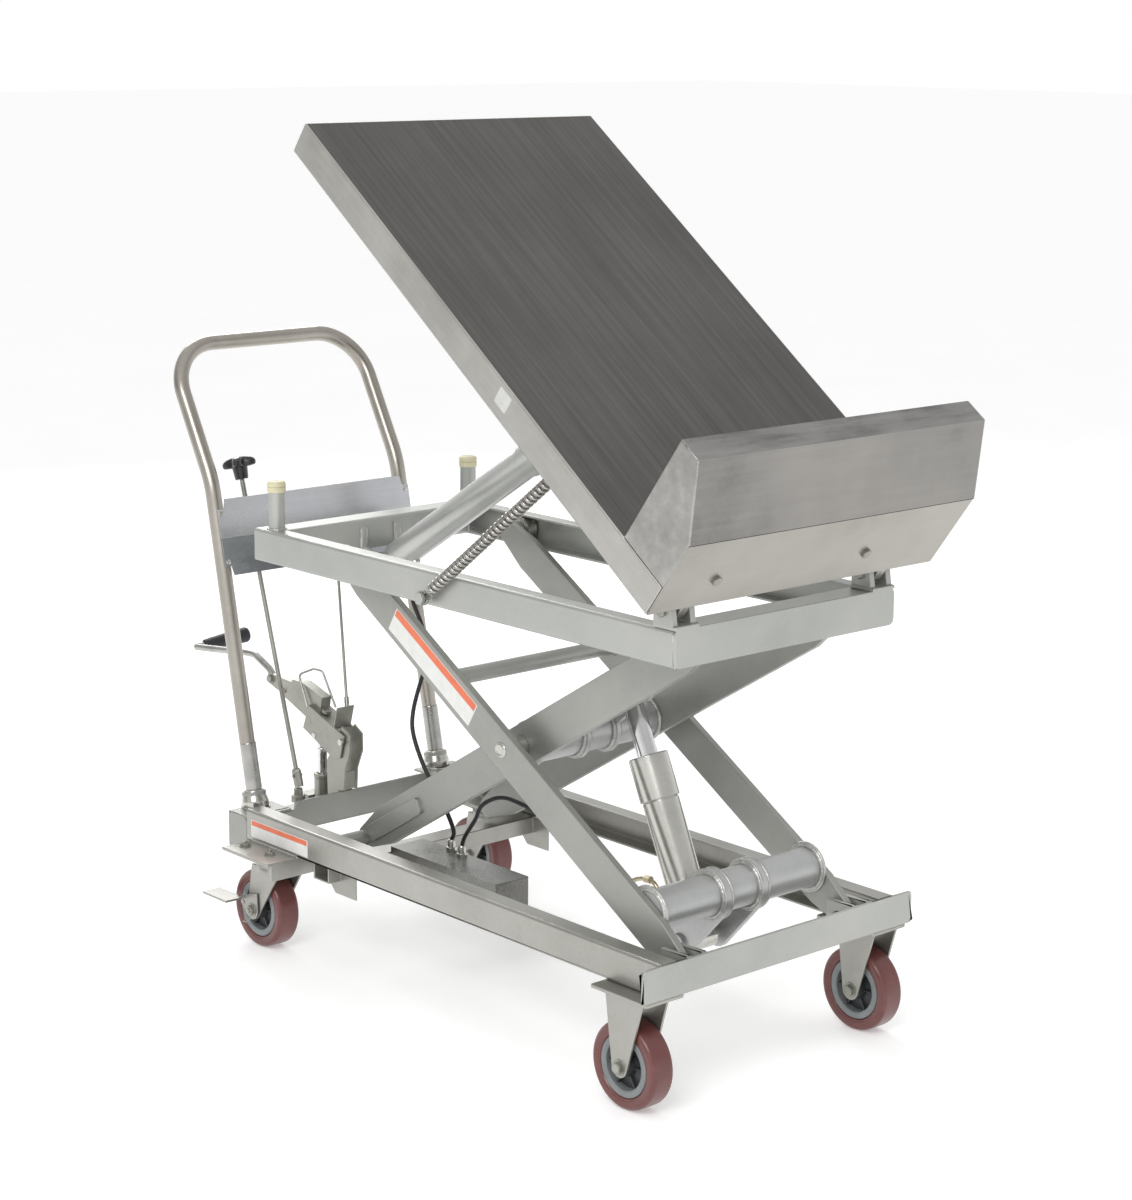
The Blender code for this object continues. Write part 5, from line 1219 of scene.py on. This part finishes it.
def hoses():
    hose("tilt_hose", TILT_HOSE_ROUTE)
    hose("lift_hose", LIFT_HOSE_ROUTE)
    fittings = []
    for route in (TILT_HOSE_ROUTE[::-1], LIFT_HOSE_ROUTE):
        place = Vector((route[0][0], route[0][1], 0.18))
        fittings += [hexagon(place, place + UP * 0.006, 0.0085), upright([(0.0036, 0.004), (0.0062, 0.004),
            (0.0062, 0.016), (0.005, 0.0185), (0.0036, 0.0185)], place, 32, 0.0006, closed=True)]
    piece("valve_hose_fittings", fittings, MACHINED, "base")
    x, y, z = TILT_HOSE_ROUTE[0]
    start = Vector((x, y, z + 0.0009))
    stand_in("hose_end", [upright([(0, 0), (0.0058, 0), (0.006, 0.01), (0.0045, 0.014), (0, 0.014)], start,
        32, 0.0006)], MACHINED, "hose_fitting")
    tail = Vector(LIFT_HOSE_ROUTE[-1])
    along = (tail - Vector(LIFT_HOSE_ROUTE[-2])).normalized()
    piece("lift_hose_ferrule", [rod(tail - along * 0.014, tail + along * 0.004, 0.0058, 28, 0.0008)],
        MACHINED, "outer_legs")


def label(name, across, up, band, body, face, placement=IDENTITY):
    """A plain label with a coloured band along its upper edge."""
    white = plate(rectangle(across, up), "XZ", (face - 0.0003, face + 0.0002), edge=0.0001)
    colour = plate(rectangle((across[0] + 0.002, across[1] - 0.002), band), "XZ",
        (face - 0.0006, face - 0.0001), edge=0.0001)
    piece(name, [white], LABEL, body, placement=placement)
    piece(f"{name}_band", [colour], LABEL_BAND, body, placement=placement)


def labels():
    ends = [OUTER_FRAME.inverted() @ Vector(place) for place in ((-0.237, 0, 0.567), (-0.046, 0, 0.453))]
    across = sorted(end.x for end in ends)
    label("leg_label", across, (-0.02, 0.021), (0.008, 0.02), "outer_legs", -OUTER_LEG_Y[1], OUTER_FRAME)
    label("rail_label", (-0.524, -0.371), (0.177, 0.205), (0.196, 0.204), "base", -0.235)


# ---------------------------------------------------------------- stage
def floor():
    cage = bmesh.new()
    half_size, gap_under_wheels = 40, 0.0004
    bmesh.ops.create_grid(cage, x_segments=1, y_segments=1, size=half_size)
    mesh = bpy.data.meshes.new("floor")
    cage.to_mesh(mesh)
    cage.free()
    ground = bpy.data.objects.new("floor", mesh)
    ground.location.z = -gap_under_wheels
    paint = surface("floor_white", [(0.86, 0.86, 0.86), (0.88, 0.88, 0.88), (0.9, 0.9, 0.9)], 0.0,
        (0.75, 0.85), 2.0, 30, 0.3, 0.02)
    shader = paint.node_tree.nodes["Principled BSDF"]
    shader.inputs["Emission Color"].default_value = (1, 1, 1, 1)
    shader.inputs["Emission Strength"].default_value = 0.3
    ground.data.materials.append(paint)
    bpy.context.scene.collection.objects.link(ground)


def soft_box(name, place, target, size, power):
    light = bpy.data.lights.new(name, "AREA")
    light.shape = "RECTANGLE"
    light.size, light.size_y = size
    light.energy = power
    lamp = bpy.data.objects.new(name, light)
    lamp.location = place
    lamp.rotation_euler = (Vector(target) - Vector(place)).to_track_quat("-Z", "Y").to_euler()
    bpy.context.scene.collection.objects.link(lamp)


# the room, from nadir to zenith
SHADES = [(0.0, 1.0), (0.5, 1.06), (0.55, 1.04), (0.7, 0.62), (1.0, 0.92)]
SIDE_CARD = (-0.66, -0.75, 0.03)      # the way to a grey card, which puts the dark edges in bright metal


def studio():
    """An even pale room, a little darker low down, with one large soft key light."""
    world = bpy.data.worlds.new("room")
    world.use_nodes = True
    tree = world.node_tree
    background = tree.nodes["Background"]
    place = add_node(tree, "TexCoord")
    split = add_node(tree, "SeparateXYZ", [("Vector", place, "Generated")])
    half = add_node(tree, "MapRange", [("Value", split, "Z")], From_Min=-1.0)
    ramp = add_node(tree, "ValToRGB", [("Fac", half, "Result")])
    set_ramp(ramp, [(at, (shade, shade, shade)) for at, shade in SHADES])
    side_card = add_node(tree, "VectorMath", [(0, place, "Generated")])
    side_card.operation = "DOT_PRODUCT"
    side_card.inputs[1].default_value = SIDE_CARD
    dim = add_node(tree, "MapRange", [("Value", side_card, "Value")], From_Min=0.8, From_Max=0.97,
        To_Min=0.95, To_Max=0.42)
    dim.interpolation_type = "SMOOTHSTEP"
    seen = add_node(tree, "LightPath")
    pick = add_node(tree, "Mix", [("Factor", seen, "Is Camera Ray"), ("A", dim, "Result")], B=0.95)
    feed(tree, background, [("Color", ramp, "Color"), ("Strength", pick, "Result")])
    bpy.context.scene.world = world
    soft_box("key", (2.2, -3.4, 3.2), (0, 0, 0.5), (2.4, 1.8), 90)
    soft_box("rim", (-3.2, 1.4, 2.6), (0, 0, 0.6), (1.6, 2.2), 55)


def camera():
    """Stands where a person looks at the near side from the lip end, a little above it."""
    yaw, pitch, roll = 2.4173, -0.2089, 0.0066
    ahead = Vector((cos(yaw) * cos(pitch), sin(yaw) * cos(pitch), sin(pitch)))
    level = Vector((sin(yaw), -cos(yaw), 0))
    upright = level.cross(ahead)
    right = level * cos(roll) + upright * sin(roll)
    up = -level * sin(roll) + upright * cos(roll)
    data = bpy.data.cameras.new("camera")
    data.sensor_width = 36
    data.lens = 81.78
    data.shift_x = 0.0051
    data.shift_y = -0.0101
    data.clip_end = 200
    view = bpy.data.objects.new("camera", data)
    place = TO_ROW @ Vector((2.9634, -2.6593, 1.4838))
    view.matrix_world = Matrix.Translation(place) @ Matrix((right, up, -ahead)).transposed().to_4x4()
    bpy.context.scene.collection.objects.link(view)
    bpy.context.scene.camera = view


camera()
studio()
floor()
base_frame()
handle()
front_forks()
wheels()
legs()
torque_tubes()
hydraulics()
upper_frame()
table_top()
springs()
pump()
controls()
hoses()
labels()
bpy.context.scene.view_settings.view_transform = "Standard"
